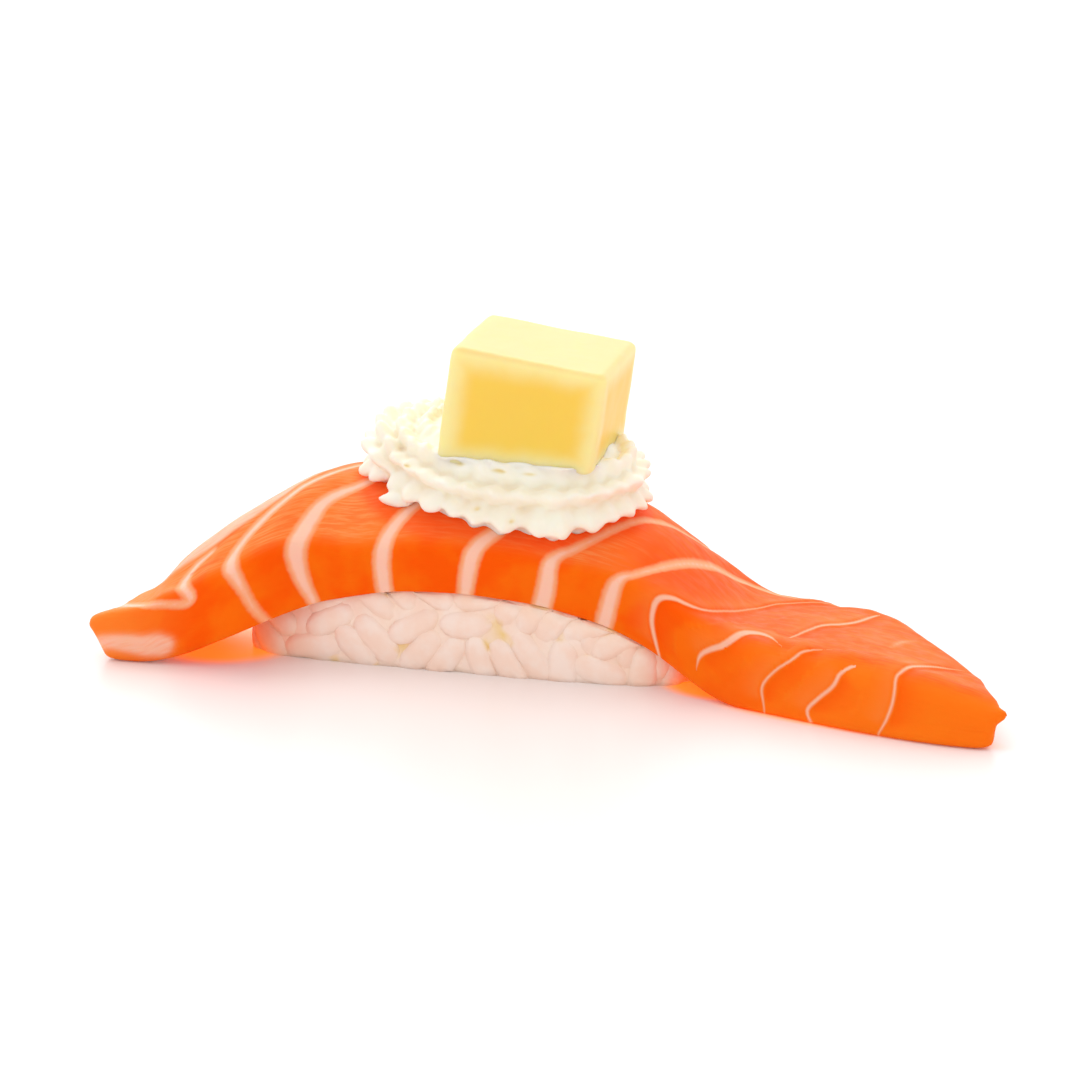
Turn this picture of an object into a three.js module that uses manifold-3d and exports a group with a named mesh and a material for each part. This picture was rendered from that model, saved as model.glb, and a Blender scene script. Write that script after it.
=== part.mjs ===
// Salmon nigiri with a piped rosette of cream and a cube of mango on top.
// Millimetres, +Z up. It stands on Z = 0 with its base centred on the origin,
// the slice runs along X with its thin tail towards +X, and -Y is the front.

import * as THREE from 'three';
import { mergeVertices } from 'three/addons/utils/BufferGeometryUtils.js';
import Module from 'manifold-3d';

const wasm = await Module();
wasm.setup();

const { clamp, degToRad, lerp, smoothstep } = THREE.MathUtils;
const UP = new THREE.Vector3(0, 0, 1);

// ---------------------------------------------------------------------------
// Driving dimensions. X and Y are counted from a point under the arch.
// ---------------------------------------------------------------------------

const GAP = 0.3; // air between two foods that touch
const JOIN_TOLERANCE = 1e-4;

// The salmon slice: a long block, cut with a slanting knife and draped over the rice.
const HEAD_X = -45.6;
const TAIL_X = 50.5;
const HEAD_SKEW = 5.5; // how far the far corner of the head end lies towards +X
const TAIL_SKEW = -4.6;
const HEAD_SLANT = 3.0; // how far the lower edge of the head end is cut back
const TAIL_SLANT = -2.0;
const FRONT_Y = -5.7; // front edge of the slice in the middle
const HEAD_TUCK = 4.5; // the head end swings this far forward, the tail much further
const TAIL_SWING = 11.3;
const SLICE_WIDTH = 23.9;
const HEAD_NARROWING = 0.36;
const TAIL_NARROWING = 0.7;
const SLICE_THICKNESS = 5.1;
const HEAD_SWELL = 2.3; // extra thickness at the front edge of the head end
const HEAD_FALL = 1.4; // thickness lost again across the head end
const HEAD_STEP = 0.6; // thickness that the outermost flakes of the head end lack
const TAIL_SWELL = 1.8;
const TAIL_FALL = 2.0;
const TAIL_FLARE = 1.6; // how far the tail's front side slopes out towards its lower edge
const HEAD_TAPER = 20; // length over which each end thins out
const TAIL_TAPER = 21.8;
const TIP_PLAN_TAPER = 6; // length over which each tip narrows, seen from above
const TIP_FRONT_SHARE = 0.15; // share of that narrowing that the front edge takes
const LOWER_EDGE_RADIUS = 0.5;
const CREASE_RADIUS = 0.9; // of the upper edges
const TAIL_CREASE_RADIUS = 2.4; // of the same edges in the tail
const TIP_RADIUS = 1.6;

// The arch that the slice makes over the rice.
const ARCH_X = -9.6;
const ARCH_RISE = 7.9; // under the two long edges
const ARCH_DOME = 0.8; // share by which the middle rises above the edges
const ARCH_LEFT = 26.1; // half spans under the edges
const ARCH_RIGHT = 29.1;
const ARCH_LEFT_MIDDLE = 4.0; // extra half span under the middle
const ARCH_LEFT_FULLNESS = 1.85; // 2 is a parabola, more is flatter on top
const ARCH_RIGHT_FULLNESS = 2.45;
const LANDING_BLEND = 2.4; // how softly the slice lands on the plate

// The rice bed: an oval mound of cooked short grains.
const RICE_CENTRE = new THREE.Vector2(-6.6, 4.6);
const RICE_YAW = -2.5; // degrees, seen from above
const RICE_HALF_LENGTH = 22.8;
const RICE_HALF_WIDTH = 9.5;
const RICE_HEIGHT = 17;
const RICE_SQUARENESS = 5; // 2 is an ellipse in plan, more is squarer
const RICE_UPRIGHTNESS = 0.5; // 1 is a dome, less has steeper walls
const GRAIN_LENGTH = 6.6;
const GRAIN_THICKNESS = 3.0;
const GRAIN_SPACING = 5.1; // along a ring of grains
const GRAIN_ROW_RISE = 2.15; // from one ring to the next

// The cream: one star-shaped rope, piped in a spiral from the middle outwards.
const CREAM_CENTRE = new THREE.Vector2(-4.7, 4.6);
const CREAM_HALF_LENGTH = 14.7;
const CREAM_HALF_WIDTH = 10.4;
const ROPE_RADIUS = 3.5;
const ROPE_TEETH = 8;
const ROPE_TWIST = 17; // degrees by which the teeth are turned round the rope
const ROPE_GROOVE = 0.3; // depth of the grooves as a share of the radius
const ROPE_RIPPLE = 0.1; // height of the ripples along the rope, likewise
const RIPPLES_PER_TURN = 26;
const STEPS_PER_RIPPLE = 3;
const ROPE_SINK = 0.5; // height of the rope's centre over the fish, in rope radii
const ROPE_SLUMP = 0.3; // share by which the rope's lower half has spread
const COIL_START = 0.2; // turns at which the inner coil begins
const COIL_RIM = 0.75; // turns from which the rope shows on the outside
const COIL_SPREAD = 1.05; // turns at which the coil has reached its full width
const COIL_END = 1.735;
const COIL_END_TAPER = 0.06; // length over which the rope's end rounds off, in turns
const COIL_START_ANGLE = -53; // degrees, seen from above
const HEART_HEIGHT = 6.1; // of the cream in the middle, over the fish
const TIP_CENTRE = new THREE.Vector2(-14.5, -1.5); // of the last bit off the nozzle
const TIP_HALF_LENGTH = 1.9;
const TIP_THICKNESS = 1.6;

// The mango cube, sunk a little into the cream and leaning to the right.
const CUBE_SIZE = new THREE.Vector3(15.9, 16.7, 10.9);
const CUBE_CENTRE = new THREE.Vector3(-1.4, 5.0, 26.3);
const CUBE_YAW = 2;
const CUBE_LEAN = 8.5;
const CUBE_EDGE_RADIUS = 0.8;
const CUBE_FOOT_LEFT = 1.4; // how far its lower face reaches down at the left, and at the right
const CUBE_FOOT_RIGHT = -0.5;

// ---------------------------------------------------------------------------
// Helpers
// ---------------------------------------------------------------------------

// A repeatable stream of numbers between 0 and 1.
function seededRandom(seed) {
  let state = seed;
  return () => {
    state = (state * 1664525 + 1013904223) % 4294967296;
    return state / 4294967296;
  };
}

// Moves every vertex of a geometry by a function of its old place, and joins the seams.
function reshape(geometry, move) {
  const position = geometry.attributes.position;
  const point = new THREE.Vector3();
  for (let i = 0; i < position.count; i++) {
    point.fromBufferAttribute(position, i);
    move(point);
    position.setXYZ(i, point.x, point.y, point.z);
  }
  return joined(geometry);
}

// Joins the vertices that a geometry class keeps apart along its seams.
function joined(geometry) {
  geometry.deleteAttribute('normal');
  geometry.deleteAttribute('uv');
  return mergeVertices(geometry, JOIN_TOLERANCE);
}

// Places the grid lines of a box closer together where its edges are rounded.
function gridLine(u, segments, lowShare, highShare = lowShare) {
  const roundSteps = 2;
  const step = Math.round(u * segments);
  if (step <= roundSteps) {
    return (step / roundSteps) * lowShare;
  }
  if (segments - step <= roundSteps) {
    return 1 - ((segments - step) / roundSteps) * highShare;
  }
  return lerp(lowShare, 1 - highShare, (step - roundSteps) / (segments - 2 * roundSteps));
}

// Pulls a point of a box's surface in, so that the box has round edges and corners.
function roundEdges(point, size, radius) {
  const inner = new THREE.Vector3(
    clamp(point.x, radius.x, size.x - radius.x),
    clamp(point.y, radius.y, size.y - radius.y),
    clamp(point.z, radius.z, size.z - radius.z),
  );
  const outward = point.clone().sub(inner).divide(radius);
  if (outward.lengthSq() > 0) {
    outward.normalize().multiply(radius);
  }
  point.copy(inner.add(outward));
}

function toSolid(geometry) {
  return new wasm.Manifold(new wasm.Mesh({
    numProp: 3,
    vertProperties: new Float32Array(geometry.attributes.position.array),
    triVerts: new Uint32Array(geometry.index.array),
  }));
}

function toGeometry(solid) {
  const mesh = solid.getMesh();
  const geometry = new THREE.BufferGeometry();
  geometry.setAttribute('position', new THREE.BufferAttribute(mesh.vertProperties, 3));
  geometry.setIndex(new THREE.BufferAttribute(mesh.triVerts, 1));
  return geometry;
}

// Keeps the largest body where a cut has left loose scraps.
function largestBody(solid) {
  const bodies = solid.decompose();
  bodies.sort((one, other) => other.volume() - one.volume());
  return bodies[0];
}

// The same surface, moved outwards all over by a small distance.
function grown(geometry, distance) {
  const shell = geometry.clone();
  shell.computeVertexNormals();
  const { position, normal } = shell.attributes;
  for (let i = 0; i < position.count; i++) {
    position.setXYZ(
      i,
      position.getX(i) + normal.getX(i) * distance,
      position.getY(i) + normal.getY(i) * distance,
      position.getZ(i) + normal.getZ(i) * distance,
    );
  }
  return shell;
}

// ---------------------------------------------------------------------------
// Salmon slice
// ---------------------------------------------------------------------------

// How far x is into the head end, or into the tail, from 0 to 1.
const towardsHead = (x, from, to) => 1 - smoothstep(x, to, from);
const towardsTail = (x, from, to) => smoothstep(x, from, to);

// Rises from a blunt start to 1, as the side of an ellipse does.
function ellipseRise(distance, length) {
  const u = clamp(distance / length, 0, 1);
  return Math.sqrt(u * (2 - u));
}

function tipNarrowing(x) {
  return ellipseRise(x - HEAD_X + 1, TIP_PLAN_TAPER) * ellipseRise(TAIL_X + 1 - x, TIP_PLAN_TAPER);
}

function fullWidth(x) {
  return SLICE_WIDTH
    * (1 - HEAD_NARROWING * towardsHead(x, -18, -35))
    * (1 - TAIL_NARROWING * towardsTail(x, 31.4, 51));
}

function sliceWidth(x) {
  return fullWidth(x) * tipNarrowing(x);
}

function frontEdge(x) {
  return FRONT_Y
    - HEAD_TUCK * towardsHead(x, -20.5, -30)
    - TAIL_SWING * towardsTail(x, 6.2, 48.3)
    + TIP_FRONT_SHARE * fullWidth(x) * (1 - tipNarrowing(x));
}

// Height of the slice's lower face: an arch over the rice that lands softly on both sides.
function underside(x, across) {
  const middle = Math.sin(Math.PI * clamp(across, 0, 1));
  const side = x < ARCH_X
    ? { halfSpan: ARCH_LEFT + ARCH_LEFT_MIDDLE * middle, power: ARCH_LEFT_FULLNESS }
    : { halfSpan: ARCH_RIGHT, power: ARCH_RIGHT_FULLNESS };
  const reach = Math.min(Math.abs(x - ARCH_X) / side.halfSpan, 1.6);
  const rise = ARCH_RISE * (1 + ARCH_DOME * middle) * (1 - reach ** side.power);
  const blend = Math.max(LANDING_BLEND - Math.abs(rise), 0) / LANDING_BLEND;
  return Math.max(rise, 0) + blend * blend * LANDING_BLEND / 4;
}

function sliceThickness(x, across) {
  const full = SLICE_THICKNESS
    + (HEAD_SWELL - HEAD_FALL * across) * towardsHead(x, -17, -25.5)
    - HEAD_STEP * towardsHead(x, -36.2, -38.8)
    + (TAIL_SWELL - TAIL_FALL * across) * towardsTail(x, 2.2, 18.8);
  return full
    * ellipseRise(x - HEAD_X + 3, HEAD_TAPER)
    * ellipseRise(TAIL_X + 3 - x, TAIL_TAPER);
}

// A point of the slice from three shares: along it, across it and up through its thickness.
function drape(along, across, through) {
  const headEnd = HEAD_X + HEAD_SKEW * across + HEAD_SLANT * (1 - through);
  const tailEnd = TAIL_X + TAIL_SKEW * across + TAIL_SLANT * (1 - through);
  const x = lerp(headEnd, tailEnd, along);
  const flare = TAIL_FLARE * towardsTail(x, 10, 24) * (1 - across) * (1 - through);
  return new THREE.Vector3(
    x,
    frontEdge(x) + sliceWidth(x) * across - flare,
    underside(x, across) + sliceThickness(x, across) * through,
  );
}

// Height of the slice's upper face over a place in plan.
function sliceTop(x, y) {
  const across = clamp((y - frontEdge(x)) / sliceWidth(x), 0, 1);
  return underside(x, across) + sliceThickness(x, across);
}

// The upper edges get rounder towards the tail, the lower ones stay as the knife left them.
function upperEdgeRadius(x, thickness) {
  const radius = lerp(CREASE_RADIUS, TAIL_CREASE_RADIUS, towardsTail(x, 8, 28));
  return Math.min(radius, Math.max(CREASE_RADIUS, thickness * 0.45));
}

function salmonSlice() {
  const segments = { along: 56, across: 10, through: 5 };
  const length = TAIL_X - HEAD_X;
  const box = new THREE.BoxGeometry(1, 1, 1, segments.along, segments.across, segments.through);
  return reshape(box, (point) => {
    point.addScalar(0.5);
    const x = lerp(HEAD_X, TAIL_X, point.x);
    const size = new THREE.Vector3(length, sliceWidth(x), sliceThickness(x, point.y));
    const upperRadius = upperEdgeRadius(x, size.z);
    const radius = new THREE.Vector3(
      TIP_RADIUS,
      lerp(LOWER_EDGE_RADIUS, upperRadius, smoothstep(point.z, 0.15, 0.85)),
      point.z > 0.5 ? upperRadius : LOWER_EDGE_RADIUS,
    );
    point.set(
      gridLine(point.x, segments.along, radius.x / size.x) * size.x,
      gridLine(point.y, segments.across, radius.y / size.y) * size.y,
      gridLine(point.z, segments.through, LOWER_EDGE_RADIUS / size.z, upperRadius / size.z) * size.z,
    );
    roundEdges(point, size, radius);
    point.copy(drape(point.x / size.x, point.y / size.y, point.z / size.z));
  });
}

// ---------------------------------------------------------------------------
// Rice bed
// ---------------------------------------------------------------------------

// A point on the mound, from an angle in plan and one of elevation, both in radians.
function moundPoint(angle, elevation) {
  const power = 2 / RICE_SQUARENESS;
  const bulge = (value) => Math.sign(value) * Math.abs(value) ** power;
  const wall = Math.max(Math.cos(elevation), 0) ** RICE_UPRIGHTNESS;
  return new THREE.Vector3(
    RICE_HALF_LENGTH * bulge(Math.cos(angle)) * wall,
    RICE_HALF_WIDTH * bulge(Math.sin(angle)) * wall,
    RICE_HEIGHT * Math.sin(elevation),
  )
    .applyAxisAngle(UP, degToRad(RICE_YAW))
    .add(new THREE.Vector3(RICE_CENTRE.x, RICE_CENTRE.y, 0));
}

function riceCore() {
  const sphere = new THREE.SphereGeometry(1, 24, 10);
  return reshape(sphere, (point) => {
    const direction = point.clone().normalize();
    const elevation = Math.asin(clamp(direction.z, -1, 1));
    const inPlan = Math.hypot(direction.x, direction.y);
    const angle = inPlan > 1e-6 ? Math.atan2(direction.y, direction.x) : 0;
    point.copy(moundPoint(angle, elevation));
  });
}

// Everything above the slice's lower face, past both of its long edges.
function spaceAboveRice() {
  const overhang = 0.4; // share of the width
  const height = 25;
  const box = new THREE.BoxGeometry(1, 1, 1, 36, 18, 1);
  return reshape(box, (point) => {
    const across = lerp(-overhang, 1 + overhang, point.y + 0.5);
    const place = drape(point.x + 0.5, across, 0);
    place.z += point.z < 0 ? -GAP : height;
    point.copy(place);
  });
}

function grain(random) {
  const stretch = lerp(0.9, 1.08, random());
  const body = new THREE.SphereGeometry(1, 5, 4);
  body.rotateX(Math.PI / 2);
  body.rotateY(Math.PI / 2);
  body.scale(GRAIN_LENGTH * stretch / 2, GRAIN_THICKNESS / 2, GRAIN_THICKNESS / 2);
  return body;
}

// Rings of grains up the wall of the mound, each grain lying roughly along its ring.
function riceGrains() {
  const random = seededRandom(7);
  const grains = [];
  const rows = 6;
  const sweep = 720;
  for (let row = 0; row < rows; row++) {
    const height = GRAIN_THICKNESS * 0.4 + row * GRAIN_ROW_RISE;
    const elevation = Math.asin(height / RICE_HEIGHT);
    let previous = moundPoint(0, elevation);
    let walked = random() * GRAIN_SPACING;
    for (let step = 1; step <= sweep; step++) {
      const here = moundPoint(step / sweep * 2 * Math.PI, elevation);
      walked += here.distanceTo(previous);
      if (walked >= GRAIN_SPACING) {
        walked -= GRAIN_SPACING * lerp(0.85, 1.15, random());
        const heading = Math.atan2(here.y - previous.y, here.x - previous.x);
        grains.push(placedGrain(here, heading, random));
      }
      previous = here;
    }
  }
  return grains.filter((body) => body !== null);
}

// One grain on the mound's wall, or nothing where the fish lies too low for it.
function placedGrain(place, heading, random) {
  const across = (place.y - frontEdge(place.x)) / sliceWidth(place.x);
  const turn = heading + lerp(-0.5, 0.5, random());
  const pitch = lerp(-0.6, 0.6, random());
  const jitter = new THREE.Vector3(0, lerp(-0.35, 0.35, random()), lerp(-0.5, 0.5, random()));
  const body = grain(random);
  if (place.z + GRAIN_THICKNESS * 0.3 > underside(place.x, across)) {
    return null;
  }
  const pose = new THREE.Matrix4().makeRotationFromEuler(new THREE.Euler(0, pitch, turn, 'ZYX'));
  pose.setPosition(place.clone().add(jitter));
  body.applyMatrix4(pose);
  return joined(body);
}

function riceBed() {
  const belowPlate = new THREE.BoxGeometry(120, 80, 20).translate(0, 0, -10);
  let rice = toSolid(riceCore());
  for (const body of riceGrains()) {
    rice = rice.add(toSolid(body));
  }
  rice = rice.subtract(toSolid(spaceAboveRice())).subtract(toSolid(joined(belowPlate)));
  return toGeometry(largestBody(rice));
}

// ---------------------------------------------------------------------------
// Cream
// ---------------------------------------------------------------------------

// The rope's radius after a number of turns: full, then rounded off at the end.
function ropeRadius(turns) {
  return ROPE_RADIUS * lerp(0.4, 1, ellipseRise(COIL_END - turns, COIL_END_TAPER));
}

// The centre line of the rope: it widens to a full coil that lies on the fish.
function ropeCentre(turns) {
  const spread = smoothstep(turns, -0.2, COIL_SPREAD);
  const angle = degToRad(COIL_START_ANGLE) + turns * 2 * Math.PI;
  const x = CREAM_CENTRE.x + (CREAM_HALF_LENGTH - ROPE_RADIUS) * spread * Math.cos(angle);
  const y = CREAM_CENTRE.y + (CREAM_HALF_WIDTH - ROPE_RADIUS) * spread * Math.sin(angle);
  return new THREE.Vector3(x, y, sliceTop(x, y) + ropeRadius(turns) * ROPE_SINK);
}

// A stretch of the rope: a cylinder with a star section, bent along the centre line.
function ropeStretch(from, to, steps) {
  const around = ROPE_TEETH * 2;
  const cylinder = new THREE.CylinderGeometry(1, 1, 1, around, steps);
  return reshape(cylinder, (point) => {
    const turns = lerp(from, to, point.y + 0.5);
    const centre = ropeCentre(turns);
    const tangent = ropeCentre(turns + 0.002).sub(ropeCentre(turns - 0.002)).normalize();
    const inward = UP.clone().cross(tangent).normalize();
    const upward = tangent.clone().cross(inward);
    const angle = Math.atan2(point.x, point.z);
    const rim = Math.hypot(point.x, point.z);
    const groove = ROPE_GROOVE * (0.5 - 0.5 * Math.cos(ROPE_TEETH * (angle + degToRad(ROPE_TWIST))));
    const ripple = ROPE_RIPPLE * Math.sin(turns * RIPPLES_PER_TURN * 2 * Math.PI + 2 * angle);
    const slump = ROPE_SLUMP * Math.max(0, -Math.sin(angle));
    const reach = rim * ropeRadius(turns) * (1 - groove + ripple) * (1 + slump);
    point.copy(centre)
      .addScaledVector(inward, reach * Math.cos(angle))
      .addScaledVector(upward, reach * Math.sin(angle));
  });
}

// The low mass of cream that fills the middle of the coil.
function creamHeart() {
  const halfLength = CREAM_HALF_LENGTH - 0.7 * ROPE_RADIUS;
  const halfWidth = CREAM_HALF_WIDTH - 0.7 * ROPE_RADIUS;
  const height = sliceTop(CREAM_CENTRE.x, CREAM_CENTRE.y);
  const sphere = new THREE.SphereGeometry(1, 14, 6);
  sphere.scale(halfLength, halfWidth, HEART_HEIGHT);
  sphere.translate(CREAM_CENTRE.x, CREAM_CENTRE.y, height - GAP);
  return joined(sphere);
}

// The small lobe at the foot of the coil where the nozzle was pulled away.
function creamTip() {
  const { x, y } = TIP_CENTRE;
  const sphere = new THREE.SphereGeometry(1, 8, 6);
  sphere.scale(TIP_HALF_LENGTH, TIP_THICKNESS / 2, TIP_THICKNESS / 2);
  sphere.translate(x, y, sliceTop(x, y) + TIP_THICKNESS * 0.3);
  return joined(sphere);
}

// The space that the mango cube needs, with the gap round it.
function cubePocket() {
  const { x, y, z } = CUBE_SIZE.clone().addScalar(2 * GAP);
  return placedAsCube(reshape(new THREE.BoxGeometry(x, y, z), slantFoot));
}

function creamRosette(salmon) {
  const stepsPerTurn = RIPPLES_PER_TURN * STEPS_PER_RIPPLE;
  const halfWay = (COIL_RIM + COIL_END) / 2;
  const outerSteps = Math.round((halfWay - COIL_RIM) * stepsPerTurn);
  const cream = toSolid(ropeStretch(COIL_START, COIL_RIM, 14))
    .add(toSolid(ropeStretch(COIL_RIM, halfWay, outerSteps)))
    .add(toSolid(ropeStretch(halfWay, COIL_END, outerSteps)))
    .add(toSolid(creamHeart()))
    .add(toSolid(creamTip()))
    .subtract(toSolid(grown(salmon, GAP)))
    .subtract(toSolid(cubePocket()));
  return toGeometry(largestBody(cream));
}

// ---------------------------------------------------------------------------
// Mango cube
// ---------------------------------------------------------------------------

function mangoCube() {
  const segments = 6;
  const radius = new THREE.Vector3().setScalar(CUBE_EDGE_RADIUS);
  const box = new THREE.BoxGeometry(1, 1, 1, segments, segments, segments);
  const cube = reshape(box, (point) => {
    point.addScalar(0.5);
    point.set(
      gridLine(point.x, segments, radius.x / CUBE_SIZE.x),
      gridLine(point.y, segments, radius.y / CUBE_SIZE.y),
      gridLine(point.z, segments, radius.z / CUBE_SIZE.z),
    ).multiply(CUBE_SIZE);
    roundEdges(point, CUBE_SIZE, radius);
    point.addScaledVector(CUBE_SIZE, -0.5);
    slantFoot(point);
  });
  return placedAsCube(cube);
}

// The lower face isn't cut parallel to the upper one: it reaches further down at the left.
function slantFoot(point) {
  const right = clamp(point.x / CUBE_SIZE.x + 0.5, 0, 1);
  const foot = 0.5 - point.z / CUBE_SIZE.z;
  point.z -= lerp(CUBE_FOOT_LEFT, CUBE_FOOT_RIGHT, right) * foot;
}

function placedAsCube(geometry) {
  return geometry
    .rotateY(degToRad(CUBE_LEAN))
    .rotateZ(degToRad(CUBE_YAW))
    .translate(CUBE_CENTRE.x, CUBE_CENTRE.y, CUBE_CENTRE.z);
}

// ---------------------------------------------------------------------------
// The nigiri
// ---------------------------------------------------------------------------

function piece(name, geometry, color, roughness) {
  geometry.computeVertexNormals();
  const material = new THREE.MeshStandardMaterial({ color, roughness, metalness: 0, flatShading: true });
  const mesh = new THREE.Mesh(geometry, material);
  mesh.name = name;
  return mesh;
}

const salmon = salmonSlice();

const nigiri = new THREE.Group();
nigiri.add(piece('rice_bed', riceBed(), 0xf2e6df, 0.45));
nigiri.add(piece('salmon_slice', salmon, 0xf97a2c, 0.3));
nigiri.add(piece('cream_rosette', creamRosette(salmon), 0xfbf1d6, 0.55));
nigiri.add(piece('mango_cube', mangoCube(), 0xf7d874, 0.4));

// Centre the base on the origin.
const bounds = new THREE.Box3().setFromObject(nigiri);
const baseCentre = bounds.getCenter(new THREE.Vector3()).setZ(bounds.min.z);
nigiri.position.copy(baseCentre).negate();

export default nigiri;
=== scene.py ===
# %% [markdown]
# # Salmon nigiri with piped cream and a mango cube
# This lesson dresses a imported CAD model. The solids already give every size and place, and they
# stay as they are for collision. Here each of the four foods is modelled again with the surface
# that the eye expects: flesh with bands of fat, single grains of rice, a star-shaped rope of
# cream and a soft-edged cube of fruit.

import math

import bmesh
import bpy
import numpy as np
from mathutils import Euler, Matrix, Vector, noise


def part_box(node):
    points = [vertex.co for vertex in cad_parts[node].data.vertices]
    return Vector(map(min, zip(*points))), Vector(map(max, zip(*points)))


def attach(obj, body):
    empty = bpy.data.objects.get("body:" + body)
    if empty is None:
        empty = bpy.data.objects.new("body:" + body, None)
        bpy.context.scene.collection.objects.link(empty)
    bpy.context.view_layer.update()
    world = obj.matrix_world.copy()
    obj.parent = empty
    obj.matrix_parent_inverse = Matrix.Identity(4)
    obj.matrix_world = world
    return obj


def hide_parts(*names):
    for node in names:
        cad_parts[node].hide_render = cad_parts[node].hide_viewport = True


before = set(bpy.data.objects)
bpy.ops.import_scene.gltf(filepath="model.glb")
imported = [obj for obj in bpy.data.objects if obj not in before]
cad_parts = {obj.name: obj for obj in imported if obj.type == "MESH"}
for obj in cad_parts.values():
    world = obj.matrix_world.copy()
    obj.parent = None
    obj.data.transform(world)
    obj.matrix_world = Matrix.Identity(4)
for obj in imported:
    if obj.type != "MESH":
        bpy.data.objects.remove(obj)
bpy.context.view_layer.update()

# %% [markdown]
# ## The workbench
# Food is small, so every shape below is thought of in millimetres, counted from a point on the
# plate under the arch of fish, and turned into metres when it is written to a mesh. Three
# habits are worth a helper each. Deselect everything before adding a shape, because operators
# act on whatever is selected. Read and write all points of a mesh at once, because a loop over
# a hundred thousand of them is slow. Cut a shape into even lengths along one axis by dividing
# only the edges that run that way, which is what a loop cut does by hand.

# %% Helpers for meshes
MM = 0.001


def deselect_all():
    """Leaves object mode with nothing selected, so that no operator touches another piece."""
    if bpy.context.object and bpy.context.object.mode != "OBJECT":
        bpy.ops.object.mode_set(mode="OBJECT")
    bpy.ops.object.select_all(action="DESELECT")


def take(name):
    """Names the shape that was just added."""
    piece = bpy.context.object
    piece.name = piece.data.name = name
    return piece


def read_points(piece):
    """All points of a mesh in millimetres, one row each."""
    points = np.empty(len(piece.data.vertices) * 3)
    piece.data.vertices.foreach_get("co", points)
    return points.reshape(-1, 3) / MM


def write_points(piece, points):
    piece.data.vertices.foreach_set("co", (points * MM).ravel())
    piece.data.update()


def normals_of(piece):
    """The outward direction at every point."""
    directions = np.empty(len(piece.data.vertices) * 3)
    piece.data.vertex_normals.foreach_get("vector", directions)
    return directions.reshape(-1, 3)


def divide(piece, axis, *cuts):
    """Divides the edges that run along one axis into even lengths, as loop cuts do."""
    deselect_all()
    bpy.context.view_layer.objects.active = piece
    piece.select_set(True)
    for count in cuts:
        bpy.ops.object.mode_set(mode="EDIT")
        bpy.ops.mesh.select_mode(type="EDGE")
        bpy.ops.mesh.select_all(action="DESELECT")
        mesh = bmesh.from_edit_mesh(piece.data)
        for edge in mesh.edges:
            run = edge.verts[1].co - edge.verts[0].co
            edge.select_set(abs(run[axis]) > 0.9 * run.length)
        bmesh.update_edit_mesh(piece.data)
        bpy.ops.mesh.subdivide(number_cuts=count)
        bpy.ops.object.mode_set(mode="OBJECT")


def apply_modifier(piece, kind, **settings):
    """Adds a modifier, sets it and applies it at once."""
    deselect_all()
    bpy.context.view_layer.objects.active = piece
    piece.select_set(True)
    modifier = piece.modifiers.new(kind.title(), kind)
    for name, value in settings.items():
        setattr(modifier, name, value)
    bpy.ops.object.modifier_apply(modifier=modifier.name)


def join(pieces, name):
    """Makes one piece out of several."""
    deselect_all()
    for piece in pieces:
        piece.select_set(True)
    bpy.context.view_layer.objects.active = pieces[0]
    bpy.ops.object.join()
    return take(name)


def shade_smooth(piece):
    deselect_all()
    bpy.context.view_layer.objects.active = piece
    piece.select_set(True)
    bpy.ops.object.shade_smooth()


def store(piece, **fields):
    """Keeps numbers, one or three at every point of a mesh, for its material to read."""
    for name, values in fields.items():
        kind, slot = ("FLOAT", "value") if values.ndim == 1 else ("FLOAT_VECTOR", "vector")
        layer = piece.data.attributes.new(name, kind, "POINT")
        layer.data.foreach_set(slot, values.astype(float).ravel())


def smoothstep(value, start, end):
    """Rises smoothly from 0 at start to 1 at end."""
    share = np.clip((value - start) / (end - start), 0, 1)
    return share * share * (3 - 2 * share)


def cloud(points, size, seed=0.0):
    """Soft noise from -1 to 1 whose lumps are about the given size."""
    offset = Vector((seed * 17.3, seed * 5.1, seed * 9.7))
    return np.array([noise.noise(Vector(point) / size + offset) for point in points])


def measure(piece):
    points = read_points(piece)
    faces = sum(len(face.vertices) - 2 for face in piece.data.polygons)
    low, high = points.min(0).round(1), points.max(0).round(1)
    print(f"{piece.name}: {faces} triangles, from {low} to {high} mm")


# %% [markdown]
# ## Salmon slice
# A cook cuts the slice from a salmon fillet with one slanting stroke and lays it over the rice,
# so it is a long block that bends. It could be sculpted, but a block of even cells that is
# bent by a rule keeps its thickness and gives every point a known place along, across and
# through the slice. That place is what the bands of fat need later. So a cube is added at the
# size of the flat slice, divided along its three directions, rounded along its edges and then
# draped: moved point by point, which no operator can do here. The rule is the same as in the
# CAD model: an arch over the rice, a head end that is thick and blunt, and a long thin tail
# that swings to the front.

# %% Sizes of the slice, in millimetres
HEAD_X, TAIL_X = -45.6, 50.5
HEAD_SKEW, TAIL_SKEW = 5.5, -4.6  # how far the far corner of each end lies towards the tail
HEAD_SLANT, TAIL_SLANT = 3.0, -2.0  # how far the lower edge of each end lies towards the tail
FRONT_Y = -5.7  # front edge of the slice in the middle
HEAD_TUCK = 4.5  # the head end swings this far forward, the tail much further
TAIL_SWING = 11.3
SLICE_WIDTH = 23.9
HEAD_NARROWING, TAIL_NARROWING = 0.36, 0.7
SLICE_THICKNESS = 5.1
HEAD_SWELL, HEAD_FALL = 2.3, 1.4  # extra thickness at the front edge, and what is lost again across
HEAD_STEP = 0.6  # thickness that the outermost flakes of the head end lack
TAIL_SWELL, TAIL_FALL = 1.8, 2.0
TAIL_FLARE = 1.6  # how far the tail's front side slopes out towards its lower edge
HEAD_TAPER, TAIL_TAPER = 20, 21.8  # length over which each end thins out
TIP_PLAN_TAPER = 6  # length over which each tip narrows, seen from above
TIP_FRONT_SHARE = 0.15  # share of that narrowing that the front edge takes
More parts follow.
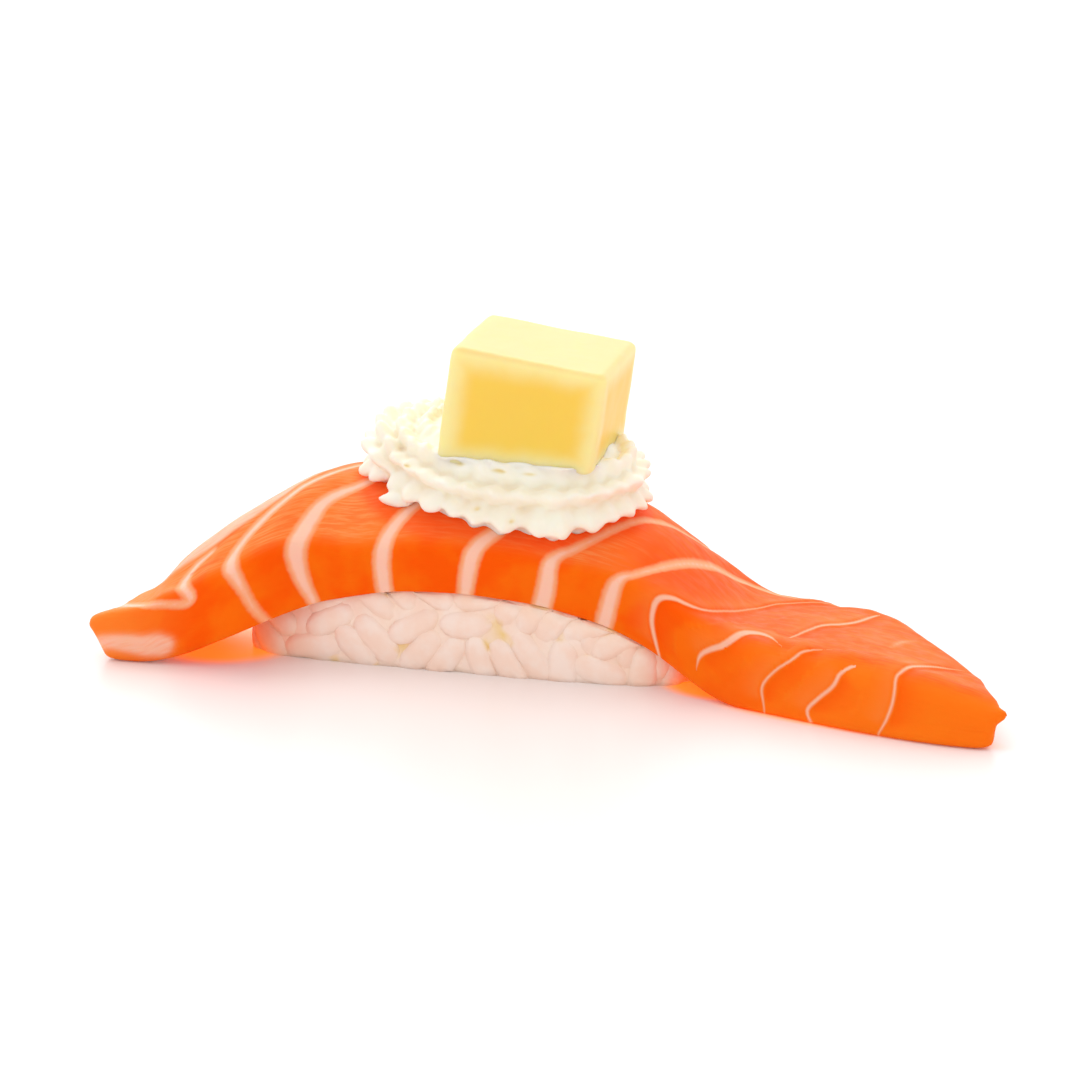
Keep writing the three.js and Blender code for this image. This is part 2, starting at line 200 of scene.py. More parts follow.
TIP_ROUNDING = 1.6
LOWER_EDGE_ROUNDING = 0.5
CREASE_ROUNDING, TAIL_CREASE_ROUNDING = 0.9, 2.4  # of the upper edges, and of the same in the tail
CELLS = np.array([300, 84, 20])  # along, across and through the slice

ARCH_X = -9.6
ARCH_RISE = 7.9  # under the two long edges
ARCH_DOME = 0.8  # share by which the middle rises above the edges
ARCH_LEFT, ARCH_RIGHT = 26.1, 29.1  # half spans under the edges
ARCH_LEFT_MIDDLE = 4.0  # extra half span under the middle
ARCH_LEFT_FULLNESS, ARCH_RIGHT_FULLNESS = 1.85, 2.45  # 2 is a parabola, more is flatter on top
LANDING_BLEND = 2.4  # how softly the slice lands on the plate

print("widest", SLICE_WIDTH, "mm, thickness over the rice", SLICE_THICKNESS, "mm")

# %% Rules that give the slice its form
# Two numbers after x in smoothstep are the places along the slice where a change begins and ends.


def ellipse_rise(distance, length):
    """Rises from a blunt start to 1, as the side of an ellipse does."""
    share = np.clip(distance / length, 0, 1)
    return np.sqrt(share * (2 - share))


def full_width(x):
    head = 1 - smoothstep(x, -35, -18)
    tail = smoothstep(x, 31.4, 51)
    return SLICE_WIDTH * (1 - HEAD_NARROWING * head) * (1 - TAIL_NARROWING * tail)


def tip_narrowing(x):
    return ellipse_rise(x - HEAD_X + 1, TIP_PLAN_TAPER) * ellipse_rise(TAIL_X + 1 - x, TIP_PLAN_TAPER)


def slice_width(x):
    return full_width(x) * tip_narrowing(x)


def front_edge(x):
    """Where the front edge runs: it swings forward at the head, and further at the tail."""
    head = 1 - smoothstep(x, -30, -20.5)
    tail = smoothstep(x, 6.2, 48.3)
    narrowed = TIP_FRONT_SHARE * full_width(x) * (1 - tip_narrowing(x))
    return FRONT_Y - HEAD_TUCK * head - TAIL_SWING * tail + narrowed


def underside(x, across):
    """Height of the lower face: an arch that is higher in the middle than under the edges."""
    middle = np.sin(np.pi * np.clip(across, 0, 1))
    left = x < ARCH_X
    half_span = np.where(left, ARCH_LEFT + ARCH_LEFT_MIDDLE * middle, ARCH_RIGHT)
    fullness = np.where(left, ARCH_LEFT_FULLNESS, ARCH_RIGHT_FULLNESS)
    reach = np.minimum(np.abs(x - ARCH_X) / half_span, 1.6)
    rise = ARCH_RISE * (1 + ARCH_DOME * middle) * (1 - reach ** fullness)
    blend = np.maximum(LANDING_BLEND - np.abs(rise), 0) / LANDING_BLEND
    return np.maximum(rise, 0) + blend ** 2 * LANDING_BLEND / 4


def thickness(x, across):
    head = 1 - smoothstep(x, -25.5, -17)
    tail = smoothstep(x, 2.2, 18.8)
    outermost = 1 - smoothstep(x, -38.8, -36.2)
    full = SLICE_THICKNESS + (HEAD_SWELL - HEAD_FALL * across) * head - HEAD_STEP * outermost
    full += (TAIL_SWELL - TAIL_FALL * across) * tail
    return full * ellipse_rise(x - HEAD_X + 3, HEAD_TAPER) * ellipse_rise(TAIL_X + 3 - x, TAIL_TAPER)


def slice_top(x, y):
    """Height of the upper face over a place on the plate."""
    across = np.clip((y - front_edge(x)) / slice_width(x), 0, 1)
    return underside(x, across) + thickness(x, across)


def upper_edge_rounding(x, depth):
    """The upper edges get rounder towards the tail."""
    rounding = CREASE_ROUNDING + (TAIL_CREASE_ROUNDING - CREASE_ROUNDING) * smoothstep(x, 8, 28)
    return np.minimum(rounding, np.maximum(CREASE_ROUNDING, depth * 0.45))


def drape(along, across, through):
    """A point of the slice from its three shares."""
    head_end = HEAD_X + HEAD_SKEW * across + HEAD_SLANT * (1 - through)
    tail_end = TAIL_X + TAIL_SKEW * across + TAIL_SLANT * (1 - through)
    x = head_end + (tail_end - head_end) * along
    flare = TAIL_FLARE * smoothstep(x, 10, 24) * (1 - across) * (1 - through)
    y = front_edge(x) + slice_width(x) * across - flare
    z = underside(x, across) + thickness(x, across) * through
    return np.stack([x, y, z], axis=1)


# %% Block of even cells
deselect_all()
bpy.ops.mesh.primitive_cube_add(
    size=1,
    location=(0, 0, SLICE_THICKNESS / 2 * MM),
    scale=((TAIL_X - HEAD_X) * MM, SLICE_WIDTH * MM, SLICE_THICKNESS * MM),
)
salmon = take("salmon_flesh")
bpy.ops.object.transform_apply(location=True, rotation=True, scale=True)
divide(salmon, 0, 99, 2)  # in two goes, because the operator makes 100 cuts at most
divide(salmon, 1, 83)
divide(salmon, 2, 19)
measure(salmon)


# %% Round the edges and drape the block
def crowd(share, cells, low, high):
    """Moves the first and last few grid lines of a row into its rounded edges."""
    steps = 4
    step = np.rint(share * cells)
    inside = low + (1 - low - high) * (step - steps) / (cells - 2 * steps)
    inside = np.where(step <= steps, step / steps * low, inside)
    return np.where(step >= cells - steps, 1 - (cells - step) / steps * high, inside)


def round_edges(points, size, radius):
    """Pulls the edges of a box from 0 to size in to a radius."""
    inner = np.clip(points, radius, size - radius)
    outward = (points - inner) / radius
    length = np.linalg.norm(outward, axis=1, keepdims=True)
    return inner + outward / np.maximum(length, 1e-9) * radius * (length > 1e-9)


block = read_points(salmon)
shares = (block - block.min(0)) / (block.max(0) - block.min(0))
x = HEAD_X + (TAIL_X - HEAD_X) * shares[:, 0]
everywhere = np.ones(len(x))
size = np.stack([everywhere * (TAIL_X - HEAD_X), slice_width(x), thickness(x, shares[:, 1])], axis=1)
upper = upper_edge_rounding(x, size[:, 2])
edge = LOWER_EDGE_ROUNDING + (upper - LOWER_EDGE_ROUNDING) * smoothstep(shares[:, 2], 0.15, 0.85)
low = np.stack([everywhere * TIP_ROUNDING, edge, everywhere * LOWER_EDGE_ROUNDING], axis=1) / size
high = np.stack([everywhere * TIP_ROUNDING, edge, upper], axis=1) / size
crowded = np.stack([crowd(shares[:, i], CELLS[i], low[:, i], high[:, i]) for i in range(3)], axis=1)
upright = np.where(shares[:, 2] > 0.5, upper, LOWER_EDGE_ROUNDING)
rounding = np.stack([everywhere * TIP_ROUNDING, edge, upright], axis=1)
rounded = round_edges(crowded * size, size, rounding) / size
draped = drape(*rounded.T)

cad_low, cad_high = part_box("salmon_slice")
cad_middle = np.array((cad_low + cad_high) / 2)[:2] / MM
bench_to_frame = np.array([*(cad_middle - (draped.min(0) + draped.max(0))[:2] / 2), 0])
print("from the bench's zero point to the frame's:", bench_to_frame.round(3), "mm")

# %% [markdown]
# ## Bands of fat
# Thin sheets of fat part the muscle into blocks. Each sheet shows as a line that climbs the cut
# side, turns over the edge and runs slantwise across the top. They could be painted as wavy
# stripes, but real bands are wide on the side, thin on the top and never quite alike, so each
# one is drawn as a short line on the unrolled slice. Its first number is the place along the
# slice, its second how far past the front edge (negative is down the side), and its third is
# half the band's width, where less than nothing lets a soft band fade out. Every point of the
# mesh then learns how far it is from the nearest band. The distance is better than a ready
# colour, because it stays sharp between the points.

# %% Bands on the unrolled slice, in millimetres
FAT_BANDS = [
    [(-43.6, 6.4, 0.7), (-42.0, 4.0, 0.8), (-37.7, -0.3, 0.38), (-34.0, -1.9, 0.35),
     (-33.3, -1.5, 0.6), (-34.0, -0.4, 0.6), (-34.9, 1.4, 0.7), (-34.2, 3.0, 0.6), (-32.4, 3.7, 0.4)],
    [(-25.9, -7.5, 0.3), (-27.3, -5.0, 0.36), (-28.0, -3.1, 0.42), (-28.8, -1.2, 0.6),
     (-29.6, 0.6, 0.85), (-29.3, 2.0, 0.6), (-28.5, 3.4, 0.6), (-27.2, 5.2, 0.65),
     (-24.4, 8.5, 0.6), (-17.5, 14.5, 0.5), (-12.0, 24.5, 0.4)],
    [(-21.2, -7.5, 0.55), (-21.9, -6.0, 0.55), (-22.9, -4.0, 0.7), (-23.5, -1.4, 0.9),
     (-23.4, 0.4, 1.05), (-22.8, 2.8, 0.95), (-22.2, 4.8, 0.8), (-20.4, 6.4, 0.65),
     (-16.0, 9.6, 0.5), (-10.5, 16.0, 0.45), (-6.5, 24.5, 0.45)],
    [(-14.3, -6.5, 0.8), (-14.9, -2.6, 0.92), (-14.8, -0.2, 0.95), (-14.3, 1.7, 0.8),
     (-12.9, 3.6, 0.7), (-8.5, 8.5, 0.5), (-3.5, 15.0, 0.45), (-0.5, 24.5, 0.45)],
    [(-6.5, -6.5, 0.7), (-6.0, -2.6, 0.92), (-5.5, -0.4, 0.95), (-4.6, 0.9, 0.8),
     (-2.6, 2.6, 0.65), (1.2, 7.0, 0.45), (5.0, 13.5, 0.4), (8.2, 24.5, 0.4)],
    [(1.2, -6.5, 1.0), (2.1, -2.6, 0.98), (2.3, -0.3, 0.85), (3.0, 0.9, 0.55), (4.6, 2.0, 0.4),
     (7.4, 5.3, 0.35), (9.4, 9.2, 0.35), (11.6, 14.0, 0.35), (15.0, 24.5, 0.35)],
    [(7.4, -7.5, 0.85), (8.3, -3.4, 0.9), (8.9, -1.0, 0.8), (9.7, 0.5, 0.5), (11.0, 1.2, 0.4),
     (13.4, 4.6, 0.4), (15.4, 10.5, 0.4), (16.8, 17.0, 0.4), (19.5, 22.0, 0.4), (23.9, 21.5, 0.3)],
]
THIN_LINES = [
    [(14.3, -7.5, 0.15), (13.0, -3.9, 0.22), (12.9, -2.4, 0.25), (13.5, -0.4, 0.3),
     (15.0, 0.7, 0.26), (16.9, 1.2, 0.18), (18.4, 3.0, 0.11), (21.4, 14.8, 0.09),
     (25.4, 21.1, 0.08), (30.0, 23.6, 0.06)],
    [(17.9, -5.0, 0.05), (18.2, -3.5, 0.2), (19.4, -2.3, 0.26), (21.0, -1.2, 0.32),
     (22.6, 2.4, 0.34), (24.3, 3.2, 0.26), (26.5, 0.8, 0.03)],
    [(27.0, 3.7, 0.1), (28.6, 11.5, 0.16), (31.3, 14.3, 0.18), (33.1, 20.3, 0.16)],
    [(25.6, -7.5, 0.08), (25.2, -5.6, 0.12), (24.9, -4.3, 0.15), (25.9, -2.9, 0.14),
     (28.1, -1.0, 0.16), (28.9, 0.7, 0.16), (31.6, 2.0, 0.03)],
    [(31.4, -7.5, 0.1), (29.5, -5.9, 0.2), (31.0, -4.3, 0.2), (32.6, -2.9, 0.2),
     (33.0, -1.6, 0.2), (34.2, -0.3, 0.24)],
    [(36.7, -7.5, 0.06), (38.2, -4.9, 0.16), (38.8, -2.6, 0.16), (38.7, -0.2, 0.16),
     (39.2, 0.7, 0.18), (40.7, 5.0, 0.18), (44.1, 8.9, 0.05)],
]
SOFT_FAT = [
    [(-43.4, -2.6, 0.5), (-40.8, -3.3, 0.8), (-38.0, -4.2, 1.0), (-36.2, -5.3, 0.9)],
    [(-38.4, 4.6, -0.3), (-36.2, 5.2, 0.7), (-33.0, 5.8, 1.5), (-30.0, 7.1, 2.1),
     (-27.4, 10.0, 2.5), (-24.6, 13.8, 2.1), (-20.0, 18.5, 1.0), (-16.0, 22.0, -0.3)],
    [(36.8, 7.9, -0.2), (37.2, 11.0, 0.1), (38.4, 13.8, -0.2)],
]
CRACKS = [
    [(-34.2, 2.3, 0.03), (-32.5, 1.95, 0.12), (-30.6, 1.6, 0.03)],
    [(-31.9, 4.0, 0.02), (-30.6, 4.4, 0.12), (-29.4, 5.0, 0.03)],
    [(-28.0, 8.2, 0.03), (-27.2, 9.8, 0.14), (-26.3, 11.2, 0.03)],
]
print("bands and lines drawn:", [len(lines) for lines in (FAT_BANDS, THIN_LINES, SOFT_FAT, CRACKS)])


# %% Distances on the unrolled slice
def soften(line, rounds=2):
    """Cuts the corners of a drawn line, so that it bends instead of turning sharply."""
    line = np.array(line)
    for _ in range(rounds):
        near, far = 0.75 * line[:-1] + 0.25 * line[1:], 0.25 * line[:-1] + 0.75 * line[1:]
        between = np.stack([near, far], axis=1).reshape(-1, 3)
        line = np.concatenate([line[:1], between, line[-1:]])
    return line


def seen_from(places, start, end):
    """For each place: the share of a stretch that is nearest to it, the way from there, and the
    stretch's half width there."""
    run = end[:2] - start[:2]
    share = np.clip((places - start[:2]) @ run / (run @ run), 0, 1)
    offset = places - start[:2] - share[:, None] * run
    return share, offset, start[2] + share * (end[2] - start[2])


def distance_to_lines(places, lines):
    """Distance from each place on the unrolled slice to the rim of the nearest line."""
    nearest = np.full(len(places), 9.0)
    for band in map(soften, lines):
        for start, end in zip(band[:-1], band[1:]):
            _, offset, half_width = seen_from(places, start, end)
            nearest = np.minimum(nearest, np.linalg.norm(offset, axis=1) - half_width)
    return nearest


def across_lines(places, lines):
    """Distance to the nearest line's middle, negative to its right, half its width, and how much
    of its full strength it has, which fades towards its ends."""
    distance = np.full(len(places), 9.0)
    half_width, strength = np.zeros(len(places)), np.zeros(len(places))
    for line in map(soften, lines):
        lengths = np.linalg.norm(np.diff(line[:, :2], axis=0), axis=1)
        walked = np.concatenate([[0], np.cumsum(lengths)])
        for start, end, from_start, length in zip(line[:-1], line[1:], walked, np.diff(walked)):
            share, offset, width_here = seen_from(places, start, end)
            run = end[:2] - start[:2]
            side = np.where(run[0] * offset[:, 1] - run[1] * offset[:, 0] < 0, -1, 1)
            away = np.linalg.norm(offset, axis=1)
            closer = away < np.abs(distance)
            from_end = from_start + share * length
            from_end = np.minimum(from_end, walked[-1] - from_end)
            distance[closer] = (side * away)[closer]
            half_width[closer] = width_here[closer]
            strength[closer] = smoothstep(from_end, 0, 2.5)[closer]
    near = np.abs(distance) < half_width + 0.45
    return distance, np.where(near, half_width, -3.0), strength


# %% Unroll the slice
CREAM_CENTRE = np.array([-4.7, 4.6])  # the cream covers this oval of the fish
CREAM_HALF_SIZE = np.array([14.7, 10.4])

along_x = draped[:, 0]
local_width = slice_width(along_x)
local_depth = thickness(along_x, rounded[:, 1])
below_front = (rounded[:, 2] - 1) * local_depth
past_edge = rounded[:, 1] * local_width
turned = smoothstep(past_edge, TAIL_CREASE_ROUNDING, 4.0)
unrolled_y = past_edge + below_front * (1 - turned)
unrolled = np.stack([along_x, unrolled_y], axis=1)
fat_rim = distance_to_lines(unrolled, FAT_BANDS)
soft_fat = 1 - smoothstep(distance_to_lines(unrolled, SOFT_FAT), -0.5, 0.7)
line_distance, line_width, line_strength = across_lines(unrolled, THIN_LINES)
crack_distance, crack_width, _ = across_lines(unrolled, CRACKS)
from_cream = np.linalg.norm((draped[:, :2] - CREAM_CENTRE) / CREAM_HALF_SIZE, axis=1)
print("share of the points that lie in fat:", round(float((fat_rim < 0).mean()), 2))

# %% [markdown]
# ## Low relief on the slice
# Cut fish is never a smooth plane. The blocks of muscle swell a little between the bands, the
# bands lie in shallow grooves, and the whole surface is gently uneven. A Displace modifier
# could do the unevenness, but the swelling has to follow the bands, so both are added in one
# move along each point's own normal, a tenth of a millimetre or two. In the tail the flakes end
# in low steps along the thin lines, and the tip carries a small nub.

# %% Swell the muscle between its bands
SWELLING = 0.16
GROOVE_DEPTH = 0.10
FLAKE_STEP = 0.24
NUB = np.array([0.7, -0.15, 0.15])

write_points(salmon, draped)
outward = normals_of(salmon)
from_line = np.abs(line_distance)
groove = 1 - smoothstep(fat_rim, -0.15, 0.35)
swelling = smoothstep(np.minimum(fat_rim, from_line), 0.0, 2.4)
step = np.sign(line_distance) * smoothstep(from_line, 0.0, 0.5) * np.exp(-from_line / 2.2)
step *= line_strength * smoothstep(rounded[:, 2], 0.02, 0.3)
uneven = cloud(draped, 7.0, 1) * 0.16 + cloud(draped, 2.2, 2) * 0.05
relief = SWELLING * swelling - GROOVE_DEPTH * groove + FLAKE_STEP * step + uneven
relief *= smoothstep(rounded[:, 2], 0.0, 0.12)
shaped = draped + outward * relief[:, None]
tip = draped[np.argmax(draped[:, 0] - 0.5 * np.abs(draped[:, 2] - 3.0))]
from_tip = np.linalg.norm((draped - tip) * (0.6, 0.8, 1.2), axis=1)
shaped += (1 - smoothstep(from_tip, 0.1, 1.0))[:, None] * NUB
print("the slice's tip is at", tip.round(1))
shaped[:, 2] = np.maximum(shaped[:, 2], 0)
write_points(salmon, shaped + bench_to_frame)
shade_smooth(salmon)
store(
    salmon,
    fat_rim=fat_rim,
    soft_fat=soft_fat,
    line_distance=line_distance,
    line_width=line_width,
    crack_distance=crack_distance,
    crack_width=crack_width,
    fold=step,
    under_cream=1 - smoothstep(from_cream, 0.98, 1.09),
    unrolled=np.stack([along_x, unrolled_y, rounded[:, 2]], axis=1),
    upper_face=smoothstep(rounded[:, 2], 0.75, 1.0) * smoothstep(past_edge, 0.0, 1.5),
)
measure(salmon)

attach(salmon, "root")
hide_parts("salmon_slice")

# %% [markdown]
# ## Finish of raw salmon
# Salmon is orange because of a pigment in the muscle, its fat is pale pink, and both let light
# in a little way, so that edges glow. The wet surface mirrors the room at a slant, which turns
# the top face pale; the colour paints this sheen in on the head half, and paints the tail's
# upper face darker against the stronger light there. Shade is painted too, below each flake
# step and at the foot of the cream, with a painted highlight on each step's raised side. A
# material could mix two flat colours, but the flesh also has darker and lighter clouds and fine
# fibres that slant across each block. All of these are read from the unrolled slice, so they
# bend with it.


# %% Helpers for materials
class Finish:
    """A new material, with short words for the shader nodes that the foods need."""

    def __init__(self, name):
        self.material = bpy.data.materials.new(name)
        self.material.use_nodes = True
        self.shader = self.material.node_tree.nodes["Principled BSDF"]

    def fill(self, sockets, values):
        """Gives each named socket a number, a colour or another node's output."""
        for name, value in values.items():
            if isinstance(value, bpy.types.NodeSocket):
                self.material.node_tree.links.new(value, sockets[name])
            else:
                sockets[name].default_value = value

    def add(self, kind, values, **settings):
        """Adds a node and gives back its outputs."""
        node = self.material.node_tree.nodes.new(kind)
        for name, value in settings.items():
            setattr(node, name, value)
        self.fill(node.inputs, values)
        return node.outputs

    def place(self):
        """The place on the piece, in metres."""
        return self.add("ShaderNodeTexCoord", {})["Object"]

    def stored(self, name, output="Fac"):
        """What the mesh keeps at its points under this name."""
        return self.add("ShaderNodeAttribute", {}, attribute_name=name)[output]

    def maths(self, operation, first, second=0.0):
        return self.add("ShaderNodeMath", {0: first, 1: second}, operation=operation)[0]

    def ramp(self, value, start, end, low=0.0, high=1.0):
        """Spreads a value from start..end over low..high, softly."""
        values = {"Value": value, "From Min": start, "From Max": end, "To Min": low, "To Max": high}
        return self.add("ShaderNodeMapRange", values, interpolation_type="SMOOTHSTEP")[0]

    def speckle(self, place, scale, detail=3.0, roughness=0.5):
        values = {"Vector": place, "Scale": scale, "Detail": detail, "Roughness": roughness}
        return self.add("ShaderNodeTexNoise", values)[0]

    def stretch(self, place, scale, turn=0.0):
        """Scales and turns a pattern."""
        values = {"Vector": place, "Scale": scale, "Rotation": (0, 0, math.radians(turn))}
        return self.add("ShaderNodeMapping", values)[0]

    def blend(self, share, first, second):
        """Goes from the first colour to the second."""
        return self.add("ShaderNodeMix", {0: share, 6: first, 7: second}, data_type="RGBA")[2]

    def complete(self, colour, height, strength, depth, values):
        """Fills in the shader: its colour, a fine relief and whatever else is given."""
        bump = self.add("ShaderNodeBump", {"Strength": strength, "Distance": depth, "Height": height})
        self.fill(self.shader.inputs, {"Base Color": colour, "Normal": bump[0], **values})
        print(self.material.name, "has", len(self.material.node_tree.nodes), "shader nodes")


# %% Colour of the flesh
DEEP_FLESH = (1.0, 0.105, 0.002, 1)
BRIGHT_FLESH = (1.0, 0.155, 0.004, 1)
HEAD_FLESH = (1.0, 0.24, 0.030, 1)
TAIL_FLESH = (1.0, 0.200, 0.010, 1)
PAINTED_SHEEN_FLESH = (1.0, 0.28, 0.075, 1)
PAINTED_SHADE_TAIL_TOP = (1.0, 0.088, 0.003, 1)
TAIL_STREAK = (1.0, 0.17, 0.038, 1)
SHADED_FLESH = (1.0, 0.085, 0.001, 1)
CREAM_SHADOW_FLESH = (1.0, 0.055, 0.0, 1)

wet_flesh = Finish("raw_salmon")
place = wet_flesh.stored("unrolled", "Vector")
along_slice = wet_flesh.add("ShaderNodeSeparateXYZ", {"Vector": place})["X"]
clouds = wet_flesh.speckle(place, 0.16, 3)
fibres = wet_flesh.speckle(wet_flesh.stretch(place, (0.35, 3.2, 1), 31), 1.0, 4, 0.6)
streaks = wet_flesh.speckle(wet_flesh.stretch(place, (0.08, 0.3, 1), -12), 1.0, 2, 0.55)

flesh = wet_flesh.blend(wet_flesh.ramp(clouds, 0.4, 0.62), DEEP_FLESH, BRIGHT_FLESH)
flesh = wet_flesh.blend(wet_flesh.ramp(along_slice, -32, -43, 0.0, 0.85), flesh, HEAD_FLESH)
flesh = wet_flesh.blend(wet_flesh.ramp(along_slice, 10, 34, 0.0, 0.8), flesh, TAIL_FLESH)
# Painted sheen and shade on the upper face: paler over the head half, darker over the tail, where the
# sun and sky light it more.
upper_face = wet_flesh.stored("upper_face")
tail_top = wet_flesh.blend(wet_flesh.ramp(streaks, 0.45, 0.72), PAINTED_SHADE_TAIL_TOP, TAIL_STREAK)
top = wet_flesh.blend(wet_flesh.ramp(along_slice, 4, 14), PAINTED_SHEEN_FLESH, tail_top)
on_top = wet_flesh.maths("MULTIPLY", upper_face, wet_flesh.ramp(fibres, 0.38, 0.7, 0.4, 1.0))
flesh = wet_flesh.blend(on_top, flesh, top)
fold = wet_flesh.stored("fold")
# Painted shade on the low side of each flake step, and a painted highlight on its raised side.
flesh = wet_flesh.blend(wet_flesh.ramp(fold, -0.1, -0.8, 0.0, 0.5), flesh, SHADED_FLESH)
flesh = wet_flesh.blend(wet_flesh.ramp(fold, 0.2, 0.9, 0.0, 0.3), flesh, PAINTED_SHEEN_FLESH)
# Painted shadow: the upper face is darker and redder at the foot of the cream.
cream_shadow = wet_flesh.maths("MULTIPLY", wet_flesh.stored("under_cream"), 0.55)
flesh = wet_flesh.blend(wet_flesh.maths("MULTIPLY", upper_face, cream_shadow), flesh, CREAM_SHADOW_FLESH)

# %% Colour of the fat, and the wet surface
FAT_MIDDLE = (1.0, 0.57, 0.43, 1)
FAT_RIM = (0.98, 0.38, 0.18, 1)
CRACK = (0.70, 0.08, 0.004, 1)


def past_rim(name):
    """How far each place lies past the rim of a thin line, less than nothing inside it."""
    away = wet_flesh.maths("ABSOLUTE", wet_flesh.stored(name + "_distance"))
    return wet_flesh.maths("SUBTRACT", away, wet_flesh.stored(name + "_width"))


wobble = wet_flesh.maths("SUBTRACT", wet_flesh.speckle(place, 1.3, 3, 0.6), 0.5)
wobble = wet_flesh.maths("MULTIPLY", wobble, 0.25)
rim = wet_flesh.maths("ADD", wet_flesh.stored("fat_rim"), wobble)
thin = past_rim("line")
soft = wet_flesh.stored("soft_fat")
pale = wet_flesh.maths("MULTIPLY", soft, wet_flesh.ramp(fibres, 0.3, 0.6, 0.75, 1.0))
in_fat = wet_flesh.maths("MAXIMUM", wet_flesh.ramp(rim, 0.3, -0.16), pale)
in_fat = wet_flesh.maths("MAXIMUM", in_fat, wet_flesh.ramp(thin, 0.10, -0.12, 0.0, 0.95))
in_band = wet_flesh.ramp(rim, -0.1, -0.6)
inside = wet_flesh.maths("MAXIMUM", in_band, wet_flesh.ramp(soft, 0.2, 0.9, 0.0, 0.7))
inside = wet_flesh.maths("MAXIMUM", inside, wet_flesh.ramp(thin, 0.0, -0.2, 0.0, 0.8))
colour = wet_flesh.blend(in_fat, flesh, wet_flesh.blend(inside, FAT_RIM, FAT_MIDDLE))
in_crack = wet_flesh.ramp(past_rim("crack"), 0.33, -0.1, 0.0, 0.42)
colour = wet_flesh.blend(in_crack, colour, CRACK)

height = wet_flesh.maths("ADD", wet_flesh.maths("MULTIPLY", fibres, 0.5), in_fat)
wet_flesh.complete(colour, height, 0.35, 0.2 * MM, {
    "Roughness": wet_flesh.ramp(wet_flesh.speckle(place, 0.8, 2), 0.3, 0.7, 0.46, 0.62),
    "Subsurface Weight": 0.25,
    "Subsurface Radius": (1.0, 0.35, 0.12),
    "Subsurface Scale": 1.2 * MM,
    "Specular IOR Level": 0.1,
    "Specular Tint": (1, 0.32, 0.07, 1),
})
salmon.data.materials.append(wet_flesh.material)

# %% [markdown]
# ## Rice bed
# A ball of cooked short-grain rice is pressed in the hand, so the grains lie every way, touch
# each other and are flattened where the hand pressed them. Dropping grains with physics is slow
# and never packs as a hand does. Instead one grain is modelled and copied. The places are found
# on the unrolled wall of the mound: grains are thrown on it at random and then push each other
# apart until they cover it evenly. A second layer is packed the same way behind the first, and
# a core closes what is left. Points that would pass through the fish or the plate are pressed
# flat against them, and so are those that stick out of the mound.

# %% Mound and grain sizes, in millimetres
RICE_CENTRE = np.array([-6.6, 4.6])
RICE_YAW = math.radians(-2.5)
RICE_HALF_SIZE = np.array([22.8, 9.5])
RICE_HEIGHT = 17
RICE_SQUARENESS = 5  # 2 is an ellipse in plan, more is squarer
RICE_UPRIGHTNESS = 0.5  # 1 is a dome, less has steeper walls
GRAIN_LENGTH = 6.7
GRAIN_THICKNESS = 3.0
GRAIN_AXIS = 1.75  # half the length of the line inside a grain
GRAIN_FOOT = 1.2  # height of the lowest grains' middle
GRAIN_ROOM = 0.6  # between the middle of the highest grains and the fish
GRAIN_SPACING = 0.92  # how close grains come, as a share of their thickness
GRAIN_LAYERS = [(0.0, 2.1), (0.9, 1.6)]  # depth behind the wall, and how often grains cover it
PRESSED_SHARE = 0.7  # of whatever sticks out of the mound, the share that the hand presses in
CORE_OUTSET = 0.7  # how far the core reaches past the wall, to close the gaps between the grains
CORE_HEIGHT = 14

along_bed = (math.cos(RICE_YAW), math.sin(RICE_YAW))
yaw_turn = np.array([along_bed, (-along_bed[1], along_bed[0])])
print("rice bed:", 2 * RICE_HALF_SIZE, "mm, one grain:", GRAIN_LENGTH, "by", GRAIN_THICKNESS, "mm")


# %% Rules that give the mound its form
def wall_share(height):
    """How wide the mound still is at a height, as a share of its foot."""
    return np.maximum(1 - (height / RICE_HEIGHT) ** 2, 0.01) ** (RICE_UPRIGHTNESS / 2)


def plan_norm(share):
    """1 on the mound's outline in plan, less inside it."""
    return (np.abs(share) ** RICE_SQUARENESS).sum(axis=1) ** (1 / RICE_SQUARENESS)


def place_on_bench(plan, height):
    return np.column_stack([plan @ yaw_turn + RICE_CENTRE, height])


def ceiling_over(points):
    """Height of the fish's lower face over each point."""
    return underside(points[:, 0], (points[:, 1] - front_edge(points[:, 0])) / slice_width(points[:, 0]))


def seen_from_wall(points):
    """Each point in the mound's own plan, how far it lies outside the wall, and the way out."""
    plan = (points[:, :2] - RICE_CENTRE) @ yaw_turn.T
    size = RICE_HALF_SIZE * wall_share(points[:, 2])[:, None]
    norm = plan_norm(plan / size)
    slope = np.sign(plan) * (np.abs(plan / size) / norm[:, None]) ** (RICE_SQUARENESS - 1) / size
    steepness = np.linalg.norm(slope, axis=1)
    return plan, (norm - 1) / steepness, slope / steepness[:, None]


def press(points, clearance, skin):
    """Flattens points against the plate, the fish and the hand that shaped the mound."""
    plan, outside, way_out = seen_from_wall(points)
    plan -= way_out * (np.maximum(outside - skin, 0) * PRESSED_SHARE)[:, None]
    ceiling = np.maximum(ceiling_over(points) - clearance, 0.05)
    return place_on_bench(plan, np.clip(points[:, 2], 0, ceiling))


